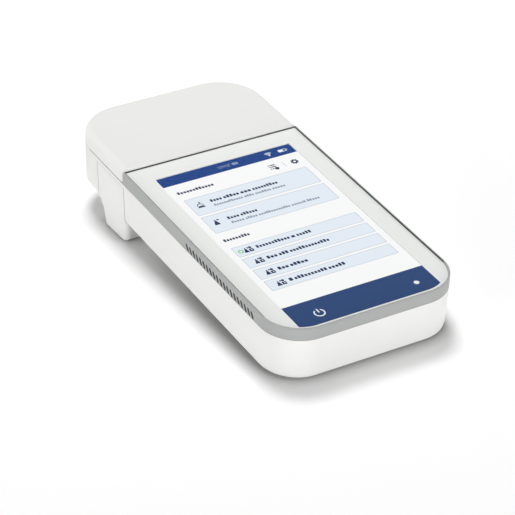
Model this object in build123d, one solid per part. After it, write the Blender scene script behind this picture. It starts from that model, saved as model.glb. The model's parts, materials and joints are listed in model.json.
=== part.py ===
from build123d import *
from math import atan2, cos, degrees, pi, radians, sin, tan
import os

# Portable bench cytometer: a flat slab with a touch display, tipped up on a rear stand,
# with a hinged cover at the rear over the bay that takes the sample cassette.
#
# Lengths are in millimetres. Every piece is drawn in the slab's own frame: X to the right,
# Y to the rear from the front edge of the glass, Z up from the face of the glass. At the
# end the slab is tipped up and set down, with the origin under the middle of the whole.

# ------------------------------------------------------------------ driving dimensions

tilt = 4.1                    # degrees by which the stand tips the slab

glass_width = 120.8
glass_length = 188.9
glass_thickness = 1.1
glass_corner = 23.5           # radius of the two front corners
glass_edge = 0.2              # ground edge of the glass
glass_gap = 0.15              # all round the glass, in its pocket

screen_margin = 13.3          # from the glass's long edges to the lit area of a 7 inch panel
screen_length = 150.7
screen_front = 24.0           # from the front edge of the glass to the lit area
panel_side = 2.9              # dead border of the panel beside the lit area
panel_front = 9.0
panel_rear = 4.3
panel_thickness = 1.6
panel_gap = 0.5               # round the panel, in the frame's window
backlight_thickness = 3.0
backlight_recess = 0.4        # of the two shallow fields pressed in its back
backlight_field = 44.0        # length of those fields
chassis_thickness = 0.8
chassis_side = 4.6            # how far the chassis reaches past the panel
chassis_end = 2.0
chassis_rib = 9.0             # metal left between its windows
chassis_rows = 4
adhesive_thickness = 0.15

rim = 1.35                    # frame seen beside the glass
band_height = 7.85            # height of the frame's band on the side
band_wall = 2.0
band_edge = 0.5
ledge_thickness = 1.65        # of the ledge that carries the glass
lip_height = 2.5              # locating lip that drops inside the case
lip_thickness = 1.2
lip_gap = 0.2

slot_count = 20               # air slots in the left side of the band
slot_pitch = 3.98
slot_first = 31.7             # Y of the middle of the first slot
slot_width = 1.5
slot_height = 4.1
slot_lean = 34.0              # degrees off upright, with the top to the rear
slot_foot = 0.4               # band left below the slots
slot_facets = 4               # flats in each round end of a slot

case_length = 263.3
case_depth = 35.5             # from the glass face to the underside
rear_corner = 30.0
wall = 2.5
floor_thickness = 2.5
draft = 1.3                   # degrees on the outside of the case
bottom_round = 3.0
round_facets = 3              # narrow flats in the rounding of the lower edge

lid_gap = 0.45                # shadow gap round the cover
lid_rise = 1.4                # of the cover's top above the glass
lid_round = 4.5
lid_front_edge = 0.9
lid_wall = 2.2
liner_gap = 0.25
liner_thickness = 1.8
liner_recess = 0.85           # from the cover's lower edge up to the liner

hinge_radius = 2.6            # of the knuckles
hinge_out = 1.3               # of the hinge's axis behind the rear face
hinge_relief = 0.35           # free space round the knuckles
knuckle_count = 3
knuckle_length = 16.0
knuckle_gap = 0.3             # between neighbouring knuckles
pin_radius = 1.0
pin_fit = 0.05                # radial, where a pin or screw sits in its hole
web_height = 2.3              # of the web that joins a knuckle to its wall

boss_radius = 4.0             # case screws, clamping frame, chassis and case
boss_inset = 7.6              # from the case's side to a boss
boss_front = 7.2              # Y of the front pair
boss_middle = 122.0
boss_rear = 180.5
screw_radius = 1.45
screw_head_radius = 2.8
screw_head_height = 2.0
screw_depth = 13.0            # from the chassis down to the screw's head
hole_gap = 0.2                # radial, of clearance holes and head bores

screw_facets = 6              # flats of the screws, posts and their holes
small_screw_radius = 1.2      # the screws that hold the inner pieces
small_head_radius = 2.2
small_head_height = 1.5
small_screw_length = 5.0
head_sink = 0.9               # of the screw heads in the tray and the liner
post_radius = 3.0

foot_radius = 5.0             # round rubber feet at the front
foot_x = 42.0
foot_y = 14.0
foot_height = 1.35            # from the floor to the underside, at a foot
foot_recess = 0.8

stand_inset = 0.8             # of the stand's front edge ahead of the glass's rear edge
stand_length = 35.1           # of the side plates
stand_foot_length = 25.9      # of the bar at the floor
stand_top_gap = 0.25          # from the underside of the bay's tray down to the side plates
stand_plate = 2.5
stand_gap = 0.15              # seam round the side plates
stand_wall = 2.2
stand_corner = 4.0            # upright corners of the foot bar
stand_toe = 2.0               # lower edges of the foot bar
stand_knee_drop = 9.7         # from the foot's knee up to the case's side
stand_knee_in = 6.2
stand_foot_height = 10.6      # from the foot's lower face up to its knee
stand_screw_x = (12.0, 30.0)
pad_length = 14.0
pad_width = 34.0
pad_x = 36.0                  # middle of each rubber pad
pad_recess = 1.0
pad_proud = 0.55

board_gap = 7.5               # between the board and the blower
board_length = 112.0
board_front = 16.0
board_side = 9.0              # from the case's wall to the board
board_thickness = 1.6
board_drop = 11.5             # from the glass face to the board
board_hole_inset = 4.0
chip_size = 11.0              # memory, radio, coils and sockets on the board
chip_height = 1.0
coil_size = 7.0
coil_height = 3.0
plug_length = 12.0
plug_depth = 5.0
shield_size = 28.0            # tinned can over the processor
shield_height = 2.2
shield_step = 0.5

antenna_length = 40.0
antenna_width = 8.0
antenna_thickness = 0.4
flex_width = 12.0
flex_x = 10.0                 # of the ribbon from the board's middle
flex_y = 20.0                 # from the board's front edge to the ribbon's socket
flex_tuck = 3.0               # of the ribbon's end behind the panel's front edge
flex_gap = 0.3
flex_thickness = 0.3
flex_socket_height = 2.6
flex_drop = 1.0               # from the chassis down to the ribbon

battery_gap = 2.0             # between the pack and the board's posts
battery_length = 92.0
battery_height = 10.5
battery_round = 3.5
strap_width = 16.0
strap_thickness = 0.8
strap_foot = 7.0
strap_bend = 1.5

blower_size = 38.0
blower_height = 10.0
blower_wall = 1.2
blower_drop = 12.0            # from the glass face to the blower's top
blower_side = 4.0             # from the case's wall to the blower
inlet_radius = 10.0
impeller_radius = 13.0
impeller_hub = 5.5
impeller_gap = 0.8
blade_count = 11
blade_thickness = 0.8
blade_sweep = 25.0            # degrees that a blade leans off its radius
spindle_radius = 1.0

tray_gap = 0.3
tray_drop = 0.75              # from the case's upper edge down to the tray
tray_thickness = 2.0
tray_wall = 1.6
recess_length = 62.0          # across the slab: the place of the cassette
recess_share = 0.4            # of the bay's length, taken by the recess
recess_depth = 5.5
recess_corner = 2.5
finger_radius = 9.0           # scallops that let the fingers grip the cassette
finger_depth = 3.0
press_gap = 0.6               # from the tray's face up to the press pad
seal_width = 2.4
seal_height = 1.75
seal_margin = 6.0             # from the recess to the seal
tray_post_front_x = 51.0
tray_post_rear_x = 37.0
tray_post_front = 8.0         # from the cover's front edge to the front posts
tray_post_rear = 12.5         # from the rear face to the rear posts

magnet_length = 10.0
magnet_width = 5.0
magnet_wall = 1.2
magnet_thickness = 1.5
magnet_x = 40.0
magnet_front = 6.5

window_radius = 5.0
window_thickness = 1.0
window_shoulder = 1.0
port_x = 24.0                 # suction port to the left, contacts to the right
port_radius = 2.0
port_flange = 3.6
port_flange_thickness = 1.5
port_proud = 0.5
port_bore = 0.8
barb_radius = 1.2
barb_length = 4.0
ring_width = 1.2              # of the seal ring's own section
ring_height = 1.0
contact_rows = 3
contact_columns = 2
contact_pitch = 2.54
contact_radius = 0.5
contact_collar = 0.8
contact_proud = 1.2
contact_travel = 1.0
contact_block_height = 6.0
contact_fit = 0.05

bench_share = 0.4             # of the bay's length, taken by the bench
bench_width = 30.0
bench_gap = 1.3               # between the tray and the optical bench
bench_flange = 2.0
bench_ear = 7.5
laser_radius = 4.5
laser_length = 22.0
laser_seat = 5.0
laser_tail = 2.0
optic_radius = 4.0
optic_fit = 0.05
objective_length = 4.0
dome_height = 0.6
dome_edge = 0.5
filter_thickness = 1.5
mirror_size = 7.5
mirror_thickness = 1.0
chamber_size = 9.0
detector_radius = 2.6
detector_height = 0.8
detector_board_gap = 1.8      # from the case's floor to the detector board

pump_radius = 6.0
pump_motor_length = 18.0
pump_head = 14.0
pump_head_length = 11.0
pump_nozzle = 3.0
pump_x = 42.0
tube_radius = 2.0
tube_bend = 4.0

io_width = 38.0
io_bench_gap = 1.0            # between the interface board and the bench
io_rear_gap = 1.0             # between the interface board and the rear wall
io_x = -7.0
io_gap = 2.0                  # under the interface board
usb_a_width = 13.2
usb_a_depth = 14.0
usb_a_height = 6.2
usb_a_skin = 0.5              # of its folded shell
usb_c_width = 9.0
usb_c_depth = 8.0
usb_c_height = 3.2
usb_c_skin = 0.4
usb_tongue_set = 1.0          # of the tongues behind the mouths
usb_tongue_thickness = 0.7
usb_a_x = -14.0
usb_c_x = 5.0
usb_inset = 0.6               # from the rear face to a receptacle
port_gap = 0.3

# ------------------------------------------------------------------ worked-out places

case_width = glass_width + 2 * rim
screen_width = glass_width - 2 * screen_margin
front = -rim
rear = front + case_length
half = case_width / 2
inner_half = half - wall
front_corner = glass_corner + rim
under = -case_depth
inside_floor = under + floor_thickness
rise, run = sin(radians(tilt)), cos(radians(tilt))
shrink = tan(radians(draft))

ledge_top = -glass_thickness - adhesive_thickness
ledge_under = ledge_top - ledge_thickness
panel_half = screen_width / 2 + panel_side
panel_y0 = screen_front - panel_front
panel_y1 = screen_front + screen_length + panel_rear
panel_top = -glass_thickness - adhesive_thickness
panel_under = panel_top - panel_thickness
backlight_under = panel_under - backlight_thickness
chassis_under = backlight_under - chassis_thickness

lid_front = glass_length + lid_gap
lid_under = -band_height + lid_gap
liner_under = lid_under + liner_recess
liner_top = liner_under + liner_thickness
lid_ceiling = lid_rise - lid_wall

hinge_y = rear + hinge_out
hinge_z = -band_height + lid_gap / 2
hinge_half = knuckle_count * knuckle_length / 2

tray_top = -band_height - tray_drop
tray_under = tray_top - tray_thickness
bay_length = rear - wall - lid_front
bay_y = lid_front + bay_length / 2
recess_width = recess_share * bay_length
bench_length = bench_share * bay_length
recess_floor = tray_top - recess_depth
recess_under = recess_floor - tray_wall

boss_x = half - boss_inset
boss_points = [
    (side * x, y)
    for x, y in (
        (boss_x - front_corner, boss_front),
        (boss_x, boss_middle),
        (boss_x, boss_rear),
    )
    for side in (-1, 1)
]
screw_head_z = chassis_under - screw_depth

# Level of the floor, and of the underside of the foot bar, in a frame that is level.
floor_level = foot_y * rise - case_depth * run - foot_height
foot_bar_level = floor_level + pad_proud
stand_front = glass_length - stand_inset

board_x1 = inner_half - board_side
board_x0 = -inner_half + blower_side + blower_size + board_gap
board_width = board_x1 - board_x0
battery_width = board_width - 2 * (board_hole_inset + post_radius + battery_gap)
board_top = -board_drop
board_under = board_top - board_thickness
board_mid_x = (board_x0 + board_x1) / 2
board_mid_y = board_front + board_length / 2
battery_under = inside_floor
battery_top = battery_under + battery_height

blower_x = -inner_half + blower_side + blower_size / 2
blower_y = slot_first + slot_pitch * (slot_count - 1) / 2
blower_top = -blower_drop
blower_under = blower_top - blower_height

detector_board_under = inside_floor + detector_board_gap
bench_under = detector_board_under + board_thickness
bench_top = recess_under - bench_gap
beam_z = (bench_top - objective_length + bench_under + detector_height + filter_thickness) / 2
ear_x = bench_width / 2 + bench_ear / 2
pump_z = inside_floor + pump_head / 2
io_y1 = rear - wall - io_rear_gap
io_length = io_y1 - io_bench_gap - bay_y - bench_length / 2
io_under = inside_floor + io_gap
io_top = io_under + board_thickness


# ------------------------------------------------------------------ helpers

def span(x, y, z):
    """A box between the two limits given for each axis."""
    middle = Pos(sum(x) / 2, sum(y) / 2, sum(z) / 2)
    return middle * Box(x[1] - x[0], y[1] - y[0], z[1] - z[0])


def rod(x, y, z, radius):
    """An upright cylinder between two heights."""
    return Pos(x, y, sum(z) / 2) * Cylinder(radius, z[1] - z[0])


def faceted(x, y, z, radius):
    """An upright prism with a few flats, for small screws, posts and their holes."""
    section = RegularPolygon(radius, screw_facets, rotation=180 / screw_facets)
    return Pos(x, y, z[0]) * extrude(section, z[1] - z[0])


def rounded(x, y, z, radius):
    """A box with upright corners rounded."""
    plate = Pos(sum(x) / 2, sum(y) / 2) * RectangleRounded(x[1] - x[0], y[1] - y[0], radius)
    return Pos(0, 0, z[0]) * extrude(plate, z[1] - z[0])


def outline(inset=0.0):
    """The slab seen from above, moved inwards by inset."""
    plate = Pos(0, front + case_length / 2) * Rectangle(
        case_width - 2 * inset, case_length - 2 * inset
    )
    plate = fillet(plate.vertices().group_by(Axis.Y)[0], front_corner - inset)
    return fillet(plate.vertices().group_by(Axis.Y)[-1], rear_corner - inset)


def slab(z, inset=0.0):
    """The slab's outline between two heights."""
    return Pos(0, 0, z[0]) * extrude(outline(inset), z[1] - z[0])


def drafted(top, bottom, inset=0.0):
    """The slab's outline drawn down from top to bottom, closing in with the draft."""
    return Pos(0, 0, top) * extrude(
        outline(inset), top - bottom, dir=(0, 0, -1), taper=draft
    )


def ahead(y):
    """Everything ahead of y."""
    return span((-case_width, case_width), (y - 2 * case_length, y), (-case_length, case_length))


def behind(y):
    """Everything behind y."""
    return span((-case_width, case_width), (y, y + 2 * case_length), (-case_length, case_length))


def level(shape):
    """Turns a shape drawn level with the floor into the slab's frame."""
    return Rot(-tilt, 0, 0) * shape


def screw(x, y, head_z, tip_z, radius, head_radius, head_height):
    """A screw with its head at head_z and its tip at tip_z, pointing either way."""
    away = 1 if head_z > tip_z else -1
    shank = faceted(x, y, sorted((head_z, tip_z)), radius)
    return shank + faceted(x, y, sorted((head_z, head_z + away * head_height)), head_radius)


def small_screw(x, y, z, direction=-1):
    """One of the screws that hold inner pieces, with its head seated at z."""
    return screw(
        x, y, z, z + direction * small_screw_length,
        small_screw_radius, small_head_radius, small_head_height,
    )


def with_post(body, x, y, top, depth=small_screw_length + 1.0):
    """The case with a post on its floor, drilled for a small screw."""
    body += faceted(x, y, (inside_floor - floor_thickness / 2, top), post_radius)
    return body - faceted(x, y, (top - depth, top + 1.0), small_screw_radius + pin_fit)


def group(pieces):
    """Separate like pieces that share one node."""
    return Compound(children=[piece.solid() for piece in pieces])


# ------------------------------------------------------------------ places shared by pieces

board_points = [
    (x, y)
    for x in (board_x0 + board_hole_inset, board_x1 - board_hole_inset)
    for y in (board_front + board_hole_inset, board_front + board_length - board_hole_inset)
]
tray_points = [
    (side * x, y)
    for x, y in (
        (tray_post_front_x, lid_front + tray_post_front),
        (tray_post_rear_x, rear - tray_post_rear),
    )
    for side in (-1, 1)
]
magnet_points = [(side * magnet_x, lid_front + magnet_front) for side in (-1, 1)]
bench_points = [
    (side * ear_x, bay_y + end * bench_length / 4) for side in (-1, 1) for end in (-1, 1)
]
io_points = [
    (io_x + side * (io_width / 2 - board_hole_inset), rear - wall - io_length + 1.0)
    for side in (-1, 1)
]
blower_points = [
    (blower_x + side * (blower_size / 2 - post_radius), blower_y - side * (blower_size / 2 - post_radius))
    for side in (-1, 1)
]
strap_points = [
    (board_mid_x + side * (battery_width / 2 + strap_thickness + strap_foot / 2), board_mid_y)
    for side in (-1, 1)
]
stand_mid = (stand_front + stand_foot_length / 2) * run + under * rise / 2
stand_points = [(side * x, stand_mid) for x in stand_screw_x for side in (-1, 1)]


# ------------------------------------------------------------------ rear stand

def stand_profile(grow=0.0):
    """Side view of the stand, level with the floor, as a face across X."""
    back = stand_front + stand_length
    toe_back = stand_front + stand_foot_length
    knee_z = foot_bar_level + stand_foot_height
    top = 2 * case_depth
    points = [
        (stand_front, top),
        (stand_front, foot_bar_level),
        (toe_back, foot_bar_level),
        (back - stand_knee_in, knee_z),
        (back, knee_z + stand_knee_in),
        (back, top),
    ]
    side = make_face(Polyline(*points, close=True))
    corners = side.vertices().sort_by(Axis.Y)
    side = fillet(corners[0:2], stand_toe)
    side = fillet(side.vertices().sort_by_distance((back - stand_knee_in, knee_z))[0], stand_corner)
    side = fillet(
        side.vertices().sort_by_distance((back, knee_z + stand_knee_in))[0], stand_corner
    )
    if grow:
        side = offset(side, grow)
    return Plane.YZ * side


def stand_across(grow=0.0):
    """The stand's profile carried right across the slab."""
    return level(extrude(stand_profile(grow), case_width, both=True))


def below_stand_top(grow=0.0):
    """Everything below the upper edge of the stand's side plates."""
    top = tray_under - stand_top_gap + grow
    return span((-case_width, case_width), (-case_length, 2 * case_length), (-3 * case_depth, top))


def stand_seat():
    """Room for the side plates, let into both sides of the case."""
    core_half = half - stand_plate - stand_gap
    core = span(
        (-core_half, core_half), (-case_length, 2 * case_length), (-3 * case_depth, case_depth)
    )
    return stand_across(stand_gap) & below_stand_top(stand_gap) - core


def rear_stand():
    """Two plates set flush in the case's sides, joined below it by the hollow foot bar."""
    body = drafted(-band_height, under)
    plate_half = half - stand_plate
    core = span(
        (-plate_half, plate_half), (-case_length, 2 * case_length), (-3 * case_depth, case_depth)
    )
    plates = (stand_across() & below_stand_top() & body) - core

    bar_half = half - (case_depth - band_height) * shrink
    below = span(
        (-case_width, case_width), (-case_length, 2 * case_length), (-3 * case_depth, under)
    )
    back = stand_front + stand_length
    upright = level(
        rounded((-bar_half, bar_half), (stand_front, back), (-3 * case_depth, case_depth), stand_corner)
    )
    solid_bar = stand_across() & below & upright
    hollow_sides = span(
        (stand_wall - bar_half, bar_half - stand_wall),
        (-case_length, 2 * case_length), (-3 * case_depth, case_depth),
    )
    bar = solid_bar - (stand_across(-stand_wall) & hollow_sides)
    for x, y in stand_points:
        bar += faceted(x, y, (under - case_depth, under), post_radius) & solid_bar
        bar -= faceted(x, y, (under - small_screw_length, under), small_screw_radius + pin_fit)
    for x in (-pad_x, pad_x):
        bar -= level(pad_block(x, foot_bar_level + pad_recess, pin_fit))
    return plates + bar


def pad_block(x, top, grow=0.0):
    """A rubber pad of the stand, level with the floor."""
    middle = stand_front + stand_foot_length / 2
    return span(
        (x - pad_width / 2 - grow, x + pad_width / 2 + grow),
        (middle - pad_length / 2 - grow, middle + pad_length / 2 + grow),
        (floor_level, top),
    )


def stand_pads():
    """Two rubber pads under the foot bar."""
    return group([level(pad_block(x, foot_bar_level + pad_recess)) for x in (-pad_x, pad_x)])


def front_feet():
    """Two round rubber feet, cut level with the floor, in recesses of the underside."""
    recess_ceiling = span(
        (-case_width, case_width), (-case_length, case_length),
        (under + foot_recess, case_depth),
    )
    feet = []
    for side in (-1, 1):
        foot = level(rod(side * foot_x, foot_y * run - under * rise, (floor_level, floor_level + case_depth / 4),
                         foot_radius))
        feet.append(foot - recess_ceiling)
    return group(feet)


# ------------------------------------------------------------------ hinge

def knuckle_spans(on_lid):
    """The X limits of the knuckles of one side, which take turns along the pin."""
    spans = []
    for index in range(knuckle_count):
        if (index % 2 == 1) == on_lid:
            x = -hinge_half + index * knuckle_length
            spans.append((x + knuckle_gap / 2, x + knuckle_length - knuckle_gap / 2))
    return spans


def along_hinge(x, radius):
    """A cylinder on the hinge's axis."""
    return Pos(sum(x) / 2, hinge_y, hinge_z) * Rot(0, 90, 0) * Cylinder(radius, x[1] - x[0])


def knuckles(on_lid):
    """The knuckles of one side, with the webs that carry them."""
    parts = []
    for x in knuckle_spans(on_lid):
        if on_lid:
            z = (hinge_z + lid_gap / 2, hinge_z + hinge_radius)
        else:
            z = (hinge_z - hinge_radius - web_height, hinge_z - lid_gap / 2)
        web = span(x, (rear - wall / 2, hinge_y), z)
        if not on_lid:
            slope = Plane.YZ * make_face(Polyline(
                (rear - wall, z[0] - hinge_out - wall), (hinge_y + hinge_radius, z[0] + hinge_radius),
                (hinge_y + hinge_radius, z[1]), (rear - wall, z[1]), close=True,
            ))
            web = web & (Pos(x[0], 0, 0) * extrude(slope, x[1] - x[0]))
        parts.append(web + along_hinge(x, hinge_radius))
    return parts


def hinge_relief_cut(on_lid):
    """Free space for the knuckles of one side, cut from the wall of the other."""
    cut = None
    for x in knuckle_spans(on_lid):
        room = (x[0] - knuckle_gap, x[1] + knuckle_gap)
        piece = along_hinge(room, hinge_radius + hinge_relief)
        cut = piece if cut is None else cut + piece
    return cut


def hinge_pin():
    """Steel pin through all the knuckles."""
    return along_hinge((-hinge_half, hinge_half), pin_radius)


# ------------------------------------------------------------------ case

def outer_case():
    """The outside of the case: drafted sides, and a lower edge rounded in narrow flats."""
    round_top = under + bottom_round
    body = drafted(-band_height, round_top)
    side_inset = (-band_height - round_top) * shrink
    for index in range(round_facets):
        above = index * pi / 2 / round_facets
        below = (index + 1) * pi / 2 / round_facets
        drop = bottom_round * (sin(below) - sin(above))
        close = bottom_round * (cos(above) - cos(below))
        flat = outline(side_inset + bottom_round * (1 - cos(above)))
        body += Pos(0, 0, round_top - bottom_round * sin(above)) * extrude(
            flat, drop, dir=(0, 0, -1), taper=degrees(atan2(close, drop))
        )
    return body


def lower_housing():
    """Moulded tub with its bosses, posts, stand seats, hinge knuckles and rear sockets."""
    body = outer_case()
    cavity = drafted(-band_height, inside_floor, wall)
    thick_half = half - stand_plate - stand_gap - wall
    thicker = level(
        span((-case_width, case_width),
             (stand_front - wall, stand_front + stand_length + wall), (-3 * case_depth, case_depth))
    ) - span((-thick_half, thick_half), (-case_length, 2 * case_length), (-3 * case_depth, case_depth))
    tray_room = slab((tray_under, case_depth), wall)
    body -= cavity - (thicker - tray_room)
    body -= stand_seat()

    for x, y in boss_points:
        body += faceted(x, y, (inside_floor - floor_thickness / 2, chassis_under), boss_radius)
        body -= faceted(x, y, (under - 1.0, screw_head_z), screw_head_radius + hole_gap)
        body -= faceted(x, y, (screw_head_z - 1.0, chassis_under + 1.0), screw_radius + hole_gap)
    for x, y in board_points:
        body = with_post(body, x, y, board_under)
    for x, y in tray_points:
        body = with_post(body, x, y, tray_under)
    for x, y in bench_points:
        body = with_post(body, x, y, detector_board_under, detector_board_gap + floor_thickness / 2)
    for x, y in io_points:
        body = with_post(body, x, y, io_under, io_gap + 0.6 * floor_thickness)
    for x, y in blower_points:
        body = with_post(body, x, y, blower_under)
    for x, y in stand_points:
        body -= faceted(x, y, (under - 1.0, inside_floor + 1.0), small_screw_radius + hole_gap)
    for x, y in strap_points:
        body -= faceted(x, y, (inside_floor - 0.6 * floor_thickness, inside_floor + 1.0),
                        small_screw_radius + pin_fit)
    for side in (-1, 1):
        body -= rod(side * foot_x, foot_y, (under - 1.0, under + foot_recess), foot_radius + lip_gap)

    body -= hinge_relief_cut(on_lid=True)
    for knuckle in knuckles(on_lid=False):
        body += knuckle
    body -= along_hinge((-hinge_half - 1.0, hinge_half + 1.0), pin_radius + pin_fit / 2)

    sockets = ((usb_a_x, usb_a_width, usb_a_height), (usb_c_x, usb_c_width, usb_c_height))
    for x, width, height in sockets:
        body -= span(
            (x - width / 2 - port_gap, x + width / 2 + port_gap),
            (rear - 2 * wall, rear + 1.0),
            (io_top - port_gap, io_top + height + port_gap),
        )
    return body


def slot_cutters():
    """The leaning air slots, cut straight in through the band from the left."""
    end_radius = slot_width / 2
    straight = (slot_height - slot_width) / cos(radians(slot_lean)) / 2
    turns = [index * pi / slot_facets for index in range(slot_facets + 1)]
    upper = [(end_radius * cos(turn), straight + end_radius * sin(turn)) for turn in turns]
    lower = [(-x, -y) for x, y in upper]
    slot = Rot(0, 0, -slot_lean) * make_face(Polyline(*upper, *lower, close=True))
    middle_z = -band_height + slot_foot + slot_height / 2
    cutters = []
    for index in range(slot_count):
        place = Plane(
            (-half - 1.0, slot_first + index * slot_pitch, middle_z), x_dir=(0, 1, 0), z_dir=(1, 0, 0)
        )
        cutters.append(extrude(place * slot, band_wall + lip_gap + 1.0))
    return cutters


def bezel_frame():
    """Grey frame round the glass, with the ledge under it, the band and the air slots."""
    body = slab((-band_height, 0)) & ahead(glass_length)
    top_edges = body.faces().sort_by(Axis.Z)[-1].edges().filter_by(
        lambda edge: edge.center().Y < glass_length - 1.0
    )
    body = chamfer(top_edges, band_edge)
    pocket = glass_face(glass_gap, glass_length + 2 * rim)
    body -= Pos(0, 0, ledge_top) * extrude(pocket, -ledge_top + 1.0)
    inner = slab((-band_height - 1.0, ledge_under), band_wall) & ahead(glass_length - band_wall)
    lip_inset = wall + lip_gap
    step = slab((-band_height - 1.0, -band_height + band_wall), lip_inset + lip_thickness)
    inner = inner - (slab((-band_height - 1.0, -band_height + band_wall / 2)) - step)
    body -= inner
    body -= rounded(
        (-panel_half - panel_gap, panel_half + panel_gap),
        (panel_y0 - panel_gap, panel_y1 + panel_gap), (-band_height, 1.0), 1.0,
    )
    lip = slab((-band_height - lip_height, -band_height + band_wall / 4), lip_inset)
    lip -= slab((-band_height - lip_height - 1.0, 1.0), lip_inset + lip_thickness)
    body += lip & ahead(stand_front - 2 * wall)
    for x, y in boss_points:
        body += faceted(x, y, (backlight_under, ledge_under + ledge_thickness / 2), boss_radius)
        body -= faceted(x, y, (backlight_under - 3 * lip_height, backlight_under), boss_radius + lip_gap)
        body -= faceted(x, y, (backlight_under - 1.0, ledge_top - ledge_thickness / 2),
                        screw_radius + pin_fit)
    for cutter in slot_cutters():
        body -= cutter
    return body


def glass_face(grow=0.0, rear_y=glass_length):
    """The glass seen from above, made larger all round by grow."""
    length = rear_y + grow
    plate = Pos(0, rear_y - length / 2) * Rectangle(glass_width + 2 * grow, length)
    return fillet(plate.vertices().group_by(Axis.Y)[0], glass_corner + grow)


def cover_glass():
    """Toughened glass over the whole front, with a ground edge."""
    glass = Pos(0, 0, -glass_thickness) * extrude(glass_face(), glass_thickness)
    return chamfer(glass.faces().sort_by(Axis.Z)[-1].edges(), glass_edge)


def glass_adhesive():
    """Ring of double-sided tape between the glass and its ledge."""
    ring = extrude(glass_face(-rim), adhesive_thickness) - rounded(
        (-panel_half - panel_gap, panel_half + panel_gap),
        (panel_y0 - panel_gap, panel_y1 + panel_gap), (-1, 1), 1.0,
    )
    return Pos(0, 0, ledge_top) * (ring & ahead(glass_length - rim))


# ------------------------------------------------------------------ display

def panel_block(z):
    """The display panel's outline between two heights."""
    return span((-panel_half, panel_half), (panel_y0, panel_y1), z)


def lcd_panel():
    """The display's two sheets of glass, with the driver ledge at the front."""
    body = panel_block((panel_under, panel_top))
    ledge = span((-panel_half, panel_half), (panel_y0 - 1.0, panel_y0 + panel_front / 2),
                 (panel_under + panel_thickness / 2, panel_top + 1.0))
    return body - ledge


def backlight_unit():
    """Folded metal tray that holds the light guide behind the panel."""
    body = panel_block((backlight_under, panel_under))
    for share in (0.3, 0.7):
        middle = panel_y0 + share * (panel_y1 - panel_y0)
        body -= span(
            (-panel_half * 0.8, panel_half * 0.8),
            (middle - backlight_field / 2, middle + backlight_field / 2),
            (backlight_under - 1.0, backlight_under + backlight_recess),
        )
    return body


def display_chassis():
    """Sheet-metal plate behind the display, clamped at the case bosses."""
    reach = panel_half + chassis_side - panel_gap
    z = (chassis_under, backlight_under)
    plate = span((-reach, reach), (panel_y0 - chassis_end, panel_y1 + chassis_end), z)
    for x, y in boss_points:
        toward = -1 if x > 0 else 1
        plate += faceted(x, y, z, boss_radius)
        if y > panel_y0:
            plate += span(sorted((x, x + toward * 3 * boss_radius)), (y - boss_radius, y + boss_radius), z)
        else:
            plate += span((x - boss_radius, x + boss_radius), (y, y + 3 * boss_radius), z)
    through = (chassis_under - 1.0, backlight_under + 1.0)
    for x, y in boss_points:
        plate -= faceted(x, y, through, screw_radius + hole_gap)
    pitch = (panel_y1 - panel_y0) / chassis_rows
    for index in range(chassis_rows):
        y = panel_y0 + index * pitch
        for side in (-1, 1):
            plate -= span(
                sorted((side * chassis_rib, side * (panel_half - chassis_rib))),
                (y + chassis_rib / 2, y + pitch - chassis_rib / 2), through,
            )
    return plate


# ------------------------------------------------------------------ electronics

def mainboard():
    """Main circuit board on four posts of the case."""
    board = span((board_x0, board_x1), (board_front, board_front + board_length),
                 (board_under, board_top))
    for x, y in board_points:
        board -= faceted(x, y, (board_under - 1.0, board_top + 1.0), small_screw_radius + hole_gap)
    return board


def on_board(across, along, width, length, height):
    """A block on the main board, placed by shares of the board's width and length."""
    x = board_x0 + across * board_width
    y = board_front + along * board_length
    return span((x - width / 2, x + width / 2), (y - length / 2, y + length / 2),
                (board_top, board_top + height))


def processor_shield():
    """Tinned can over the processor, with its stepped lid."""
    lid_size = shield_size - 2 * shield_step
    return on_board(0.6, 0.52, shield_size, shield_size, shield_height) + on_board(
        0.6, 0.52, lid_size, lid_size, shield_height + shield_step
    )


def board_chips():
    """Memory, radio, power parts and connectors on the main board."""
    pieces = [on_board(0.2, along, 0.8 * chip_size, chip_size, chip_height) for along in (0.45, 0.6)]
    pieces.append(on_board(0.6, 0.78, 1.4 * chip_size, chip_size, 2 * chip_height))
    pieces += [on_board(across, 0.18, coil_size, coil_size, coil_height) for across in (0.22, 0.42)]
    pieces.append(on_board(0.25, 0.82, plug_length, plug_depth, coil_height))
    flex_socket = on_board(0.5, flex_y / board_length, plug_length, plug_depth, flex_socket_height)
    pieces.append(Pos(flex_x, 0, 0) * flex_socket)
    return group(pieces)


def battery_pack():
    """Flat lithium pack of two cells side by side in one wrap."""
    cell = battery_width / 2
    pack = None
    for side in (-1, 1):
        block = Pos(board_mid_x + side * cell / 2, board_mid_y, (battery_under + battery_top) / 2) * Box(
            cell, battery_length, battery_height
        )
        block = chamfer(block.edges().filter_by(Axis.Y), battery_round / 2)
        pack = block if pack is None else pack + block
    bridge = Pos(board_mid_x, board_mid_y, (battery_under + battery_top) / 2) * Box(
        2 * battery_round, battery_length - battery_round, battery_height - battery_round
    )
    return pack + bridge


def battery_strap():
    """Sheet-metal strap that holds the pack down, screwed to the floor."""
    x = battery_width / 2
    outer = span(
        (board_mid_x - x - strap_thickness, board_mid_x + x + strap_thickness),
        (board_mid_y - strap_width / 2, board_mid_y + strap_width / 2),
        (inside_floor, battery_top + strap_thickness),
    )
    inner = span((board_mid_x - x, board_mid_x + x), (board_mid_y - strap_width, board_mid_y + strap_width),
                 (inside_floor - 1.0, battery_top))
    strap = fillet(outer.edges().filter_by(Axis.Y).group_by(Axis.Z)[-1], strap_bend) - inner
    foot = (strap_foot + strap_thickness) / 2
    for x, y in strap_points:
        strap += span((x - foot, x + foot), (y - strap_width / 2, y + strap_width / 2),
                      (inside_floor, inside_floor + strap_thickness))
        strap -= faceted(x, y, (inside_floor - 1.0, inside_floor + 2.0), small_screw_radius + hole_gap)
    return strap


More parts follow.
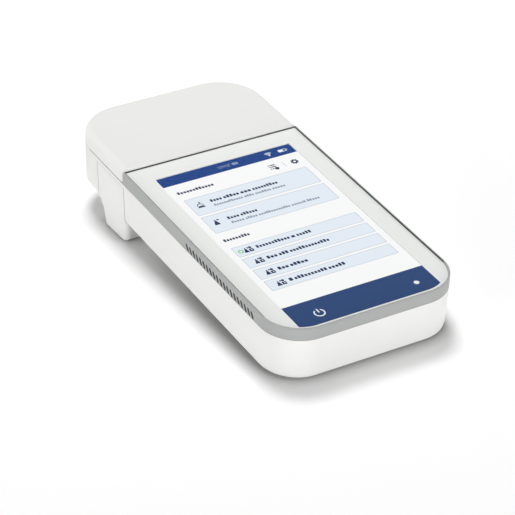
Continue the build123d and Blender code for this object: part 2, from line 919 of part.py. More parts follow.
def wifi_antenna():
    """Thin printed antenna stuck on the inside of the right wall."""
    z = (board_under - antenna_width, board_under)
    x = inner_half + (z[0] + band_height) * shrink
    y = (board_mid_y - antenna_length / 2, board_mid_y + antenna_length / 2)
    return span((x - antenna_thickness, x), y, z)


def display_flex():
    """Ribbon from the display's front edge down to the main board."""
    x = board_mid_x + flex_x
    y = board_front + flex_y
    z = chassis_under - flex_drop
    line = Polyline((panel_y0 + flex_tuck, z), (y, z), (y, board_top + flex_socket_height + flex_gap))
    ribbon = offset(line, flex_thickness / 2, side=Side.BOTH, closed=True, kind=Kind.INTERSECTION)
    return Pos(x - flex_width / 2, 0, 0) * extrude(Plane.YZ * make_face(ribbon), flex_width)


# ------------------------------------------------------------------ blower

def blower_housing():
    """Flat blower body: a round chamber with its outlet towards the air slots."""
    x, y = blower_x, blower_y
    size = blower_size / 2
    body = span((x - size, x + size), (y - size, y + size), (blower_under, blower_top))
    z = (blower_under + blower_wall, blower_top - blower_wall)
    chamber = size - 2 * blower_wall
    body -= rod(x, y, z, chamber)
    body -= span((x - size - 1.0, x), (y, y + chamber), z)
    body -= rod(x, y, (blower_top - 2 * blower_wall, blower_top + 1.0), inlet_radius)
    body += faceted(x, y, (blower_under, blower_under + 2 * blower_wall), impeller_hub)
    body += rod(x, y, (blower_under, blower_top - 2 * blower_wall), spindle_radius)
    for px, py in blower_points:
        body -= faceted(px, py, (blower_under - 1.0, blower_top + 1.0), small_screw_radius + hole_gap)
    return body


def blower_impeller():
    """Impeller on its hub: a floor disc and forward-leaning blades."""
    x, y = blower_x, blower_y
    z0 = blower_under + 2 * blower_wall + impeller_gap
    z1 = blower_top - blower_wall - impeller_gap
    body = rod(x, y, (z0, z0 + blade_thickness), impeller_radius)
    body += rod(x, y, (z0, z1), impeller_hub)
    blade_length = (impeller_radius - impeller_hub) / cos(radians(blade_sweep)) - blade_thickness
    for index in range(blade_count):
        blade = Pos(impeller_radius - blade_thickness / 2, 0, (z0 + z1) / 2) * Rot(0, 0, blade_sweep) * Pos(
            -blade_length / 2, 0, 0
        ) * Box(blade_length, blade_thickness, z1 - z0)
        body += Pos(x, y, 0) * Rot(0, 0, index * 360 / blade_count) * blade
    return body - rod(x, y, (z0 - 1.0, z1 + 1.0), spindle_radius + contact_fit)


# ------------------------------------------------------------------ rear sockets

def io_board():
    """Small circuit board behind the rear sockets."""
    board = span((io_x - io_width / 2, io_x + io_width / 2), (io_y1 - io_length, io_y1), (io_under, io_top))
    for x, y in io_points:
        board -= faceted(x, y, (io_under - 1.0, io_top + 1.0), small_screw_radius + hole_gap)
    return board


def socket_rear():
    """Y of the mouths of the sockets, just inside the drafted rear face."""
    return rear - (-band_height - io_top) * shrink - usb_inset


def usb_tongue(x, width, depth, z):
    """Tongue with the contacts inside a socket, from its closed end to short of its mouth."""
    mouth = socket_rear()
    return span((x - width / 2, x + width / 2), (mouth - depth + usb_tongue_set / 2, mouth - usb_tongue_set),
                (z - usb_tongue_thickness / 2, z + usb_tongue_thickness / 2))


def usb_a_socket():
    """Wider data socket: a folded shell with its tongue."""
    mouth = socket_rear()
    x = (usb_a_x - usb_a_width / 2, usb_a_x + usb_a_width / 2)
    shell = span(x, (mouth - usb_a_depth, mouth), (io_top, io_top + usb_a_height))
    room = span(
        (x[0] + usb_a_skin, x[1] - usb_a_skin),
        (mouth - usb_a_depth + 2 * usb_tongue_set, mouth + 1.0),
        (io_top + usb_a_skin, io_top + usb_a_height - usb_a_skin),
    )
    tongue_width = usb_a_width - 5 * usb_a_skin
    return shell - room + usb_tongue(usb_a_x, tongue_width, usb_a_depth, io_top + 0.7 * usb_a_height)


def usb_c_socket():
    """Small charging socket: an oval shell with its tongue."""
    mouth = socket_rear()
    face = Plane((usb_c_x, mouth, io_top + usb_c_height / 2), x_dir=(1, 0, 0), z_dir=(0, -1, 0))
    shell = extrude(face * SlotOverall(usb_c_width, usb_c_height), usb_c_depth)
    room = extrude(
        face * SlotOverall(usb_c_width - 2 * usb_c_skin, usb_c_height - 2 * usb_c_skin),
        usb_c_depth - usb_tongue_set,
    )
    tongue_width = usb_c_width - usb_c_height + usb_c_skin
    return shell - room + usb_tongue(usb_c_x, tongue_width, usb_c_depth, io_top + usb_c_height / 2)


# ------------------------------------------------------------------ cassette bay

def bay_tray():
    """Moulded tray that closes the case under the cover, with the cassette's recess."""
    flange = slab((tray_under, tray_top), wall + tray_gap) & behind(lid_front + tray_gap)
    x, y = recess_length / 2, recess_width / 2
    cup = rounded((-x - tray_wall, x + tray_wall), (bay_y - y - tray_wall, bay_y + y + tray_wall),
                  (recess_under, tray_top), recess_corner + tray_wall)
    body = flange + cup
    body -= rounded((-x, x), (bay_y - y, bay_y + y), (recess_floor, tray_top + 1.0), recess_corner)
    for side in (-1, 1):
        middle = side * (x - finger_radius / 2)
        body -= rod(middle, bay_y, (tray_top - tray_thickness / 2, tray_top + 1.0), finger_radius)
    for px, py in magnet_points:
        body += magnet_block(px, py, (tray_under - magnet_wall, tray_top), magnet_wall)
        body -= magnet_block(px, py, (tray_top - magnet_thickness, tray_top + 1.0), contact_fit)
    for px, py in tray_points:
        body -= faceted(px, py, (tray_under - 1.0, tray_top + 1.0), small_screw_radius + hole_gap)
        body -= faceted(px, py, (tray_top - head_sink, tray_top + 1.0), small_head_radius + hole_gap)
    body -= rod(0, bay_y, (recess_under - 1.0, tray_top), window_radius - window_shoulder)
    body -= rod(0, bay_y, (recess_floor - window_thickness, tray_top), window_radius + pin_fit)
    body -= rod(-port_x, bay_y, (recess_under - 1.0, tray_top), port_radius + pin_fit)
    for cx, cy in contact_points():
        body -= faceted(cx, cy, (recess_under - 1.0, tray_top), contact_collar)
    return body


def magnet_block(x, y, z, grow=0.0):
    """The place of a bar magnet between two heights."""
    across, along = magnet_length / 2 + grow, magnet_width / 2 + grow
    return span((x - across, x + across), (y - along, y + along), z)


def tray_seal():
    """Dark foam ring on the tray that keeps light and dust out."""
    x, y = recess_length / 2 + seal_margin, recess_width / 2 + seal_margin
    z = (tray_top, tray_top + seal_height)
    outer = span((-x - seal_width, x + seal_width), (bay_y - y - seal_width, bay_y + y + seal_width), z)
    return outer - span((-x, x), (bay_y - y, bay_y + y), (z[0] - 1.0, z[1] + 1.0))


def measuring_window():
    """Round glass window in the floor of the recess."""
    return rod(0, bay_y, (recess_floor - window_thickness, recess_floor), window_radius)


def suction_port():
    """Nozzle that draws on the cassette, with the barb for its hose."""
    flange_under = recess_under - port_flange_thickness
    body = rod(-port_x, bay_y, (recess_under, recess_floor + port_proud), port_radius)
    body += faceted(-port_x, bay_y, (flange_under, recess_under), port_flange)
    body += faceted(-port_x, bay_y, (flange_under - barb_length, flange_under), barb_radius)
    return body - faceted(-port_x, bay_y, (flange_under - barb_length - 1.0, tray_top), port_bore)


def port_ring():
    """Rubber ring round the suction port."""
    z = (recess_floor, recess_floor + ring_height)
    ring = faceted(-port_x, bay_y, z, port_radius + pin_fit + ring_width)
    return ring - rod(-port_x, bay_y, (z[0] - 1.0, z[1] + 1.0), port_radius + pin_fit)


def contact_points():
    """Places of the sprung contacts."""
    return [
        (port_x + (column - (contact_columns - 1) / 2) * contact_pitch,
         bay_y + (row - (contact_rows - 1) / 2) * contact_pitch)
        for column in range(contact_columns) for row in range(contact_rows)
    ]


def contact_block():
    """Plastic block under the recess, bored for the sprung contacts."""
    x = contact_columns * contact_pitch / 2 + 1.6
    y = contact_rows * contact_pitch / 2 + 3.0
    z0 = recess_under - contact_block_height
    body = span((port_x - x, port_x + x), (bay_y - y, bay_y + y), (z0, recess_under))
    for cx, cy in contact_points():
        body -= faceted(cx, cy, (z0 + 0.5, recess_under - 1.0), contact_collar + contact_fit)
        body -= faceted(cx, cy, (recess_under - 1.5, recess_under + 1.0), contact_radius + contact_fit)
    return body


def contact_plungers():
    """Gilt plungers, each with a collar that keeps it in the block."""
    shoulder = recess_under - 1.0 - contact_fit
    plungers = []
    for cx, cy in contact_points():
        tip = recess_floor + contact_proud
        pin = faceted(cx, cy, (shoulder - 1.0, tip), contact_radius)
        plungers.append(pin + faceted(cx, cy, (shoulder - 2.0, shoulder), contact_collar))
    return group(plungers)


# ------------------------------------------------------------------ optics

def optical_bench():
    """Aluminium block that holds laser, mirror, objective and filter in line."""
    x, y = bench_width / 2, bench_length / 2
    body = span((-x, x), (bay_y - y, bay_y + y), (bench_under, bench_top))
    body += span((-x - bench_ear, x + bench_ear), (bay_y - y, bay_y + y),
                 (bench_under, bench_under + bench_flange))
    chamber = chamber_size / 2
    body -= span((-chamber, chamber), (bay_y - chamber, bay_y + chamber), (beam_z - chamber, beam_z + chamber))
    body -= rod(0, bay_y, (bench_under - 1.0, bench_top + 1.0), optic_radius - 1.0)
    body -= rod(0, bay_y, (bench_top - objective_length, bench_top + 1.0), optic_radius + optic_fit)
    body -= rod(0, bay_y, (bench_under - 1.0, bench_under + detector_height + filter_thickness),
                optic_radius + optic_fit)
    beam = Pos(0, bay_y - y, beam_z) * Rot(90, 0, 0)
    body -= beam * Cylinder(laser_radius + optic_fit, 2 * laser_seat)
    body -= Pos(0, bay_y - y / 2, beam_z) * Rot(90, 0, 0) * Cylinder(optic_radius - 1.0, y)
    for px, py in bench_points:
        body -= faceted(px, py, (bench_under - 1.0, bench_under + bench_flange + 1.0),
                        small_screw_radius + hole_gap)
    return body


def laser_module():
    """Laser in a round housing, seated in the front of the bench."""
    y1 = bay_y - bench_length / 2 + laser_seat - optic_fit
    body = Pos(0, y1 - laser_length / 2, beam_z) * Rot(90, 0, 0) * Cylinder(laser_radius, laser_length)
    tail = Pos(0, y1 - laser_length - laser_tail / 2, beam_z) * Rot(90, 0, 0) * Cylinder(
        laser_radius * 0.7, laser_tail
    )
    return body + tail


def objective_lens():
    """Domed lens in the top of the bench, under the window."""
    z0 = bench_top - objective_length + optic_fit
    barrel = rod(0, bay_y, (z0, bench_top - dome_height), optic_radius)
    return barrel + faceted(0, bay_y, (bench_top - dome_height, bench_top), optic_radius - dome_edge)


def beam_mirror():
    """Mirror that turns the beam up and lets the returning light pass down."""
    return Pos(0, bay_y, beam_z) * Rot(45, 0, 0) * Box(mirror_size, mirror_size, mirror_thickness)


def emission_filter():
    """Coloured glass filter above the detector."""
    z0 = bench_under + detector_height + optic_fit
    return rod(0, bay_y, (z0, z0 + filter_thickness - 2 * optic_fit), optic_radius)


def detector_board():
    """Small board that carries the light detector and closes the bench below."""
    x, y = bench_width / 2 + bench_ear, bench_length / 2
    board = span((-x, x), (bay_y - y, bay_y + y), (detector_board_under, bench_under))
    for px, py in bench_points:
        board -= faceted(px, py, (detector_board_under - 1.0, bench_under + 1.0), small_screw_radius + hole_gap)
    return board


def light_detector():
    """Light detector in its metal can."""
    return rod(0, bay_y, (bench_under, bench_under + detector_height - optic_fit), detector_radius)


# ------------------------------------------------------------------ suction

def vacuum_pump():
    """Small diaphragm pump: a round motor and a square head with its nozzle."""
    head = pump_head / 2
    y0 = bay_y - pump_head_length / 2
    body = span((-pump_x - head, -pump_x + head), (y0, y0 + pump_head_length),
                (inside_floor, inside_floor + pump_head))
    motor = Pos(-pump_x, y0 - pump_motor_length / 2, pump_z) * Rot(90, 0, 0) * Cylinder(
        pump_radius, pump_motor_length
    )
    nozzle = Pos(-pump_x + head + pump_nozzle / 2, bay_y, pump_z) * Rot(0, 90, 0) * Cylinder(
        barb_radius, pump_nozzle
    )
    return body + motor + nozzle


def suction_hose():
    """Soft hose from the port's barb to the pump."""
    top = recess_under - port_flange_thickness
    start = -pump_x + pump_head / 2
    line = Polyline(
        (-port_x, bay_y, top), (-port_x, bay_y, pump_z + tube_bend),
        (-port_x - tube_bend, bay_y, pump_z), (start, bay_y, pump_z),
    )
    bore = RegularPolygon(barb_radius + pin_fit, screw_facets, major_radius=False)
    ring = Plane(line @ 0, z_dir=(0, 0, -1)) * (RegularPolygon(tube_radius, screw_facets) - bore)
    return sweep(ring, path=line, transition=Transition.RIGHT)


# ------------------------------------------------------------------ screws

def case_screws():
    """Six long screws that clamp the case, the chassis and the frame."""
    return group([
        screw(x, y, screw_head_z, ledge_top - ledge_thickness / 2 - 0.2,
              screw_radius, screw_head_radius, screw_head_height)
        for x, y in boss_points
    ])


def inner_screws():
    """Screws of the boards, the bench, the strap, the blower and the stand."""
    screws = [small_screw(x, y, board_top) for x, y in board_points]
    screws += [small_screw(x, y, bench_under + bench_flange) for x, y in bench_points]
    screws += [small_screw(x, y, io_top) for x, y in io_points]
    screws += [small_screw(x, y, inside_floor) for x, y in stand_points]
    for x, y in blower_points:
        screws.append(screw(x, y, blower_top, blower_under - small_screw_length + 1.0,
                            small_screw_radius, small_head_radius, small_head_height))
    for x, y in strap_points:
        screws.append(screw(x, y, inside_floor + strap_thickness, inside_floor - 0.5 * floor_thickness,
                            small_screw_radius, small_head_radius, small_head_height))
    return group(screws)


def tray_screws():
    """Four screws that hold the tray, sunk in its face."""
    return group([small_screw(x, y, tray_top - head_sink) for x, y in tray_points])


def tray_magnets():
    """Two magnets in the tray, which hold the cover shut."""
    z = (tray_top - magnet_thickness, tray_top)
    return group([magnet_block(x, y, z) for x, y in magnet_points])


# ------------------------------------------------------------------ cover

def cover_slab(z, inset=0.0):
    """The cover's outline between two heights."""
    return slab(z, inset) & behind(lid_front + inset)


def lid_cover():
    """The hinged cover: a rounded shell with screw posts and its knuckles."""
    shell = cover_slab((lid_under, lid_rise))
    top = shell.faces().sort_by(Axis.Z)[-1].edges()
    shell = fillet(top.sort_by(Axis.Y)[1:], lid_round)
    front_edge = shell.faces().sort_by(Axis.Z)[-1].edges().sort_by(Axis.Y)[0]
    shell = chamfer(front_edge, lid_front_edge)
    shell -= cover_slab((lid_under - 1.0, lid_ceiling), lid_wall)
    for x, y in tray_points:
        shell += faceted(x, y, (liner_top, lid_ceiling + lid_wall / 2), post_radius)
        shell -= faceted(x, y, (liner_top - 1.0, lid_ceiling + lid_wall / 4), small_screw_radius + pin_fit)
    shell -= hinge_relief_cut(on_lid=False)
    for knuckle in knuckles(on_lid=True):
        shell += knuckle
    return shell - along_hinge((-hinge_half - 1.0, hinge_half + 1.0), pin_radius + 2 * pin_fit)


def lid_liner():
    """Inner plate of the cover, with pockets for its magnets."""
    plate = cover_slab((liner_under, liner_top), lid_wall + liner_gap)
    for x, y in magnet_points:
        plate -= magnet_block(x, y, (liner_under - 1.0, liner_under + magnet_thickness), contact_fit)
    for x, y in tray_points:
        plate -= faceted(x, y, (liner_under - 1.0, liner_top + 1.0), small_screw_radius + hole_gap)
        plate -= faceted(x, y, (liner_under - 1.0, liner_under + head_sink), small_head_radius + hole_gap)
    return plate


def liner_screws():
    """Four screws that hold the liner in the cover."""
    return group([small_screw(x, y, liner_under + head_sink, direction=1) for x, y in tray_points])


def lid_magnets():
    """Two magnets in the liner, facing those of the tray."""
    z = (liner_under, liner_under + magnet_thickness)
    return group([magnet_block(x, y, z) for x, y in magnet_points])


def press_pad():
    """Soft pad that presses the cassette down on its port and contacts."""
    x, y = recess_length / 2 - 3 * tray_wall, recess_width / 2 - 2 * tray_wall
    return rounded((-x, x), (bay_y - y, bay_y + y), (tray_top + press_gap, liner_under), recess_corner)


# ------------------------------------------------------------------ assembly

makers = [
    lower_housing, bezel_frame, cover_glass, glass_adhesive, lcd_panel, backlight_unit,
    display_chassis, mainboard, processor_shield, board_chips, wifi_antenna, display_flex,
    battery_pack, battery_strap, blower_housing, blower_impeller, io_board, usb_a_socket,
    usb_c_socket, rear_stand, stand_pads, front_feet, bay_tray, tray_seal, measuring_window,
    suction_port, port_ring, contact_block, contact_plungers, optical_bench, laser_module,
    objective_lens, beam_mirror, emission_filter, detector_board, light_detector, vacuum_pump,
    suction_hose, hinge_pin, case_screws, inner_screws, tray_screws, tray_magnets, lid_cover,
    lid_liner, lid_magnets, liner_screws, press_pad,
]


def main():
    pieces = {maker.__name__: Rot(tilt, 0, 0) * maker() for maker in makers}
    boxes = [piece.bounding_box() for piece in pieces.values()]
    middle_y = (min(box.min.Y for box in boxes) + max(box.max.Y for box in boxes)) / 2
    stand_on_floor = Pos(0, -middle_y, -floor_level)
    os.makedirs("parts", exist_ok=True)
    for name, piece in pieces.items():
        export_step(stand_on_floor * piece, f"parts/{name}.step")
    print("origin in the slab's frame, turned level:", round(middle_y, 4), round(floor_level, 4))


main()
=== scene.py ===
"""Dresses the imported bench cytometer: finishes for every part, the display, the prints and the studio."""
import json
import math
import bmesh
import bpy
from bpy.props import FloatProperty, FloatVectorProperty, IntProperty, PointerProperty
from bpy.types import Operator, Panel, PropertyGroup
from mathutils import Matrix, Vector


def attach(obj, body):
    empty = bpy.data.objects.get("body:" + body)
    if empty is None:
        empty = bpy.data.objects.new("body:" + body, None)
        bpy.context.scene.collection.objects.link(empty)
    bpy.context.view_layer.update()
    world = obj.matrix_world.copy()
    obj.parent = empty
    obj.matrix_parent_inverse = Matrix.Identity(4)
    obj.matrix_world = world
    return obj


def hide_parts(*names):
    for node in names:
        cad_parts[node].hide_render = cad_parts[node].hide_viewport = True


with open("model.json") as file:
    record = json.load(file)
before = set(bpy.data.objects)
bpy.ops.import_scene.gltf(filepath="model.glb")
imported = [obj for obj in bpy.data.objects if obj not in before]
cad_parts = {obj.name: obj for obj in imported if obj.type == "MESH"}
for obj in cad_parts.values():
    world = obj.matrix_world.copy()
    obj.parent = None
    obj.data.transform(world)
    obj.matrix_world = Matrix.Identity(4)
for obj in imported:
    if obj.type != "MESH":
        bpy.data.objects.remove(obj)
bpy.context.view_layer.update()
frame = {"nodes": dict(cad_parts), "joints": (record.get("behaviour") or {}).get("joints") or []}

bl_info = {
    "name": "Bench cytometer dresser",
    "version": (1, 0, 0),
    "blender": (4, 5, 0),
    "location": "View3D > Sidebar > Cytometer",
    "description": "Finishes a bench cytometer with its display, prints and studio",
    "category": "Object",
}

MM = 0.001

TILT = 4.1                  # degrees by which the slab rises to the rear
GLASS_CORNER = 23.5 * MM    # radius of the glass's front corners
BAND_HEIGHT = 7.85          # millimetres of the grey band below the glass's face
SLOT_COUNT = 20
SLOT_FIRST = 31.7           # millimetres from the glass's front edge to the first slot's middle
SLOT_PITCH = 3.98
SLOT_LEAN = 34.0            # degrees off upright
SLOT_FOOT = 0.4             # millimetres of band left below the slots
SLOT_HALF_HEIGHT = 2.05
PAD_HALF_STRAIGHT = 1.52    # millimetres from a pad's middle to the centre of a round end
FRAME_RIM = 1.35 * MM       # width of the grey rim beside the glass
STAND_SEAMS = (187.85, 222.92)    # millimetres from the glass's front edge to the stand's upright edges
CAMERA_TURN, CAMERA_DIP, CAMERA_ROLL = 31.848, 34.440, 2.795    # degrees
CAMERA_AIM = (-34.27 * MM, 73.19 * MM, 0)
CAMERA_DISTANCE = 1346.4    # millimetres
CAMERA_LENS = 162.8         # millimetres of focal length, on a sensor 36 mm wide
FLOOR_SHADE_REACH = 14 * MM
TEXT_LEFT = -28.6 * MM      # where the word-like blocks of the cards and rows begin

# Heights of the page's layers over the panel, in millimetres, from the lit white up to the marks.
PAGE_LAYERS = {
    "white": (0.004, 0.012), "box": (0.016, 0.022), "line": (0.025, 0.030), "status": (0.026, 0.032),
    "ink": (0.034, 0.040),
}
# Depths of the inks behind the glass, in millimetres, from the one printed first.
PRINT_LAYERS = {"band": (0.012, 0.004), "symbol": (0.022, 0.015), "border": (0.036, 0.025)}
TURN_STEPS = 24
SOCKET_LOBES = 6


def linear(hex_colour):
    """Linear colour of an sRGB hex value such as '#8090A0'."""
    channels = [int(hex_colour[i : i + 2], 16) / 255 for i in (1, 3, 5)]
    return tuple(c / 12.92 if c <= 0.04045 else ((c + 0.055) / 1.055) ** 2.4 for c in channels)


def opaque(colour):
    """A colour with full alpha, as the shader sockets take it."""
    return (*colour[:3], 1.0)


# ---------------------------------------------------------------- the slab's own frame


def slab_matrix():
    """Places the slab's frame: X right, Y rearward from the glass's front edge, Z up from its face."""
    spin = next(joint for joint in frame["joints"] if joint["name"] == "impeller_spin")
    turned = Matrix.Rotation(math.atan2(-spin["axis"][1], spin["axis"][2]), 4, "X")
    corners = [turned.inverted() @ v.co for v in frame["nodes"]["cover_glass"].data.vertices]
    low_y = min(c.y for c in corners)
    high_z = max(c.z for c in corners)
    return turned @ Matrix.Translation((0, low_y, high_z))


SLAB = slab_matrix()
TO_SLAB = SLAB.inverted()


def slab_box(points):
    """Lowest and highest corner, in the slab's frame, of points given in the row's frame."""
    turned = [TO_SLAB @ Vector(p) for p in points]
    low = Vector(min(p[i] for p in turned) for i in range(3))
    high = Vector(max(p[i] for p in turned) for i in range(3))
    return low, high


def node_box(name):
    """A node's box in the slab's frame."""
    return slab_box([v.co for v in frame["nodes"][name].data.vertices])


def solids_of(name):
    """The boxes, in the slab's frame, of the separate solids in one node."""
    work = bmesh.new()
    work.from_mesh(frame["nodes"][name].data)
    bmesh.ops.remove_doubles(work, verts=work.verts, dist=0.002 * MM)
    left = set(work.verts)
    boxes = []
    while left:
        stack = [left.pop()]
        found = []
        while stack:
            vertex = stack.pop()
            found.append(vertex.co.copy())
            for edge in vertex.link_edges:
                other = edge.other_vert(vertex)
                if other in left:
                    left.remove(other)
                    stack.append(other)
        boxes.append(slab_box(found))
    work.free()
    return sorted(boxes, key=lambda box: (round(box[0].y, 4), box[0].x))


# ---------------------------------------------------------------- sizes and colours


def metres(name, description, default):
    """A length that the user may change."""
    return FloatProperty(name=name, description=description, default=default, unit="LENGTH")


def tint(name, description, default):
    """A colour that the user may change, given as an sRGB hex value."""
    return FloatVectorProperty(
        name=name, description=description, default=linear(default), subtype="COLOR", min=0, max=1
    )


class CytometerSizes(PropertyGroup):
    """Sizes of what is printed on the glass and shown on the display."""

    page_half: metres("Page half width", "Half of the lit page's width", 0.0471)
    page_front: metres("Page front", "From the glass's front edge to the lit page", 0.0243)
    page_rear: metres("Page rear", "From the glass's front edge to the page's far end", 0.1740)
    status_height: metres("Status bar", "Height of the dark bar at the page's far end", 0.0101)
    card_half: metres("Card half width", "Half of the width of the cards and rows", 0.0428)
    card_rear: metres("First card", "From the front edge to the far edge of the first card", 0.1463)
    card_height: metres("Card height", "Height of a card", 0.0187)
    card_pitch: metres("Card pitch", "From one card to the next", 0.0209)
    row_rear: metres("First row", "From the front edge to the far edge of the first row", 0.0894)
    row_height: metres("Row height", "Height of a row", 0.0105)
    row_pitch: metres("Row pitch", "From one row to the next", 0.0125)
    row_count: IntProperty(name="Rows", description="Number of rows in the list", default=4, min=1, max=4)
    band_half: metres("Band half width", "Half of the width of the printed band", 0.0474)
    band_inset: metres("Band inset", "From the glass's front edge to the printed band", 0.0021)
    power_size: metres("Power symbol", "Outer diameter of the power symbol", 0.0070)
    lamp_size: metres("Status dot", "Diameter of the white status dot", 0.0034)


class CytometerColours(PropertyGroup):
    """Colours of the outside, the prints and the page."""

    housing: tint("Housing", "Moulded case, lid and stand", "#E6E6E4")
    frame: tint("Frame", "Satin paint of the band round the glass", "#A6A8A7")
    border: tint("Border print", "Ink round the page, behind the glass", "#EFEFED")
    band: tint("Band print", "Ink of the band ahead of the page", "#314B7A")
    status: tint("Status bar", "Bar at the far end of the page", "#234588")
    page: tint("Page", "Lit page", "#FCFCFC")
    card: tint("Card", "Cards and rows on the page", "#E7EFF8")
    card_edge: tint("Card edge", "Thin line round the cards and rows", "#B9C3D0")
    ink: tint("Page ink", "Bars and symbols on the page", "#2E3A5C")
    faint_ink: tint("Faint ink", "Thin second bars on the cards", "#8D99AC")
    ready: tint("Ready ring", "Ring that marks the first row", "#6CC57C")


class CytometerStudio(PropertyGroup):
    """Lamps and surroundings."""

    sky: FloatProperty(
        name="Sky", description="Strength of the even light from all round", default=0.22, min=0, max=4
    )
    key: FloatProperty(
        name="Key lamp", description="Power of the large lamp above the rear", default=28.0, min=0, max=500
    )
    fill: FloatProperty(
        name="Front fill", description="Power of the low lamp at the front", default=28.5, min=0, max=500
    )
    side_fill: FloatProperty(
        name="Left fill", description="Power of the low lamp at the left", default=26.0, min=0, max=500
    )
    floor_lift: FloatProperty(
        name="Floor lift", description="Brightness added to the floor as it is seen",
        default=0.11, min=0, max=1,
    )


# ---------------------------------------------------------------- finishes


def add_node(tree, kind, links=None, **settings):
    """Adds a shader node, sets its own settings and its sockets, and links what is given to its inputs."""
    made = tree.nodes.new(kind)
    for name, value in settings.items():
        setattr(made, name, value)
    for socket, value in (links or {}).items():
        if isinstance(value, bpy.types.NodeSocket):
            tree.links.new(value, made.inputs[socket])
        else:
            made.inputs[socket].default_value = value
    return made


def new_finish(name):
    """An empty material, its tree, and the place of a point on the object in metres."""
    finish = bpy.data.materials.new(name)
    finish.use_nodes = True
    tree = finish.node_tree
    tree.nodes.clear()
    place = add_node(tree, "ShaderNodeTexCoord").outputs["Object"]
    return finish, tree, place


def close_finish(tree, shader):
    """Ends a material in its surface output."""
    add_node(tree, "ShaderNodeOutputMaterial", {"Surface": shader})


def surface(finish, tree, sockets):
    """Ends a finish in one Principled shader with these sockets."""
    shader = add_node(tree, "ShaderNodeBsdfPrincipled", sockets)
    close_finish(tree, shader.outputs["BSDF"])
    return finish


def mixed(tree, share, first, second):
    """A colour between two others, by a share from 0 to 1."""
    return add_node(
        tree, "ShaderNodeMix", {"Factor": share, "A": opaque(first), "B": opaque(second)}, data_type="RGBA"
    ).outputs["Result"]


def worked(tree, operation, first, second):
    """The outcome of one sum on two values."""
    return add_node(tree, "ShaderNodeMath", {0: first, 1: second}, operation=operation).outputs[0]


def grain_relief(tree, place, size, depth, soften=0.0):
    """Normal of a fine random grain of the given size and depth, in metres, with softened edges."""
    grain = add_node(
        tree, "ShaderNodeTexNoise",
        {"Vector": place, "Scale": 1 / size, "Detail": 3.0, "Roughness": 0.6},
    )
    bump = {"Height": grain.outputs["Fac"], "Distance": depth, "Strength": 1.0}
    if soften:
        bump["Normal"] = add_node(tree, "ShaderNodeBevel", {"Radius": soften}, samples=6).outputs["Normal"]
    return add_node(tree, "ShaderNodeBump", bump).outputs["Normal"]


def varied(tree, place, colour, size, amount):
    """The colour, a little lighter and darker in soft patches of the given size."""
    patches = add_node(tree, "ShaderNodeTexNoise", {"Vector": place, "Scale": 1 / size, "Detail": 2.0})
    darker = tuple(c * (1 - amount) for c in colour[:3])
    lighter = tuple(min(1.0, c * (1 + amount)) for c in colour[:3])
    return mixed(tree, patches.outputs["Fac"], darker, lighter)


def moulded_abs(name, colour, grain=0.35 * MM, depth=0.012 * MM, roughness=0.55, soften=0.5 * MM):
    """ABS, injection moulded in a spark-eroded tool: even colour, soft sheen and a fine grain."""
    finish, tree, place = new_finish(name)
    shine = add_node(tree, "ShaderNodeTexNoise", {"Vector": place, "Scale": 1 / (14 * MM), "Detail": 2.0})
    rough = add_node(
        tree, "ShaderNodeMapRange",
        {"Value": shine.outputs["Fac"], "To Min": roughness - 0.05, "To Max": roughness + 0.05},
    )
    return surface(finish, tree, {
        "Base Color": varied(tree, place, colour, 30 * MM, 0.012),
        "Roughness": rough.outputs["Result"], "IOR": 1.54, "Specular IOR Level": 0.12,
        "Normal": grain_relief(tree, place, grain, depth, soften),
    })


def satin_paint(name, colour):
    """Two-part satin paint, sprayed: a faint orange peel a millimetre across and a soft gloss."""
    finish, tree, place = new_finish(name)
    return surface(finish, tree, {
        "Base Color": varied(tree, place, colour, 22 * MM, 0.015), "Roughness": 0.5, "IOR": 1.5,
        "Specular IOR Level": 0.2,
        "Normal": grain_relief(tree, place, 0.9 * MM, 0.006 * MM, 0.35 * MM),
    })


def toughened_glass(name, clear):
    """Toughened glass with an anti-reflection coat: clear, with little glare; lamps shine through it."""
    # The coat steps the index down towards air's, so 1.08 stands for coated glass of 1.5.
    finish, tree, place = new_finish(name)
    glass = add_node(
        tree, "ShaderNodeBsdfPrincipled",
        {
            "Base Color": opaque(clear), "Roughness": 0.0, "IOR": 1.08, "Transmission Weight": 1.0,
            "Normal": grain_relief(tree, place, 60 * MM, 0.002 * MM),
        },
    )
    open_air = add_node(tree, "ShaderNodeBsdfTransparent", {"Color": opaque(clear)})
    rays = add_node(tree, "ShaderNodeLightPath")
    through = worked(tree, "MAXIMUM", rays.outputs["Is Shadow Ray"], rays.outputs["Is Diffuse Ray"])
    shader = add_node(
        tree, "ShaderNodeMixShader",
        {0: through, 1: glass.outputs["BSDF"], 2: open_air.outputs["BSDF"]},
    )
    close_finish(tree, shader.outputs["Shader"])
    return finish


def screen_print(name, colour):
    """Screen-printed ink on the back of the glass: flat and opaque, with a trace of the screen's weave."""
    finish, tree, place = new_finish(name)
    weave = add_node(
        tree, "ShaderNodeTexNoise", {"Vector": place, "Scale": 1 / (0.5 * MM), "Detail": 1.0}
    )
    darker, lighter = [c * 0.985 for c in colour], [min(1, c * 1.015) for c in colour]
    tone = mixed(tree, weave.outputs["Fac"], darker, lighter)
    return surface(finish, tree, {
        "Base Color": tone, "Roughness": 0.55, "IOR": 1.5, "Specular IOR Level": 0.0,
    })


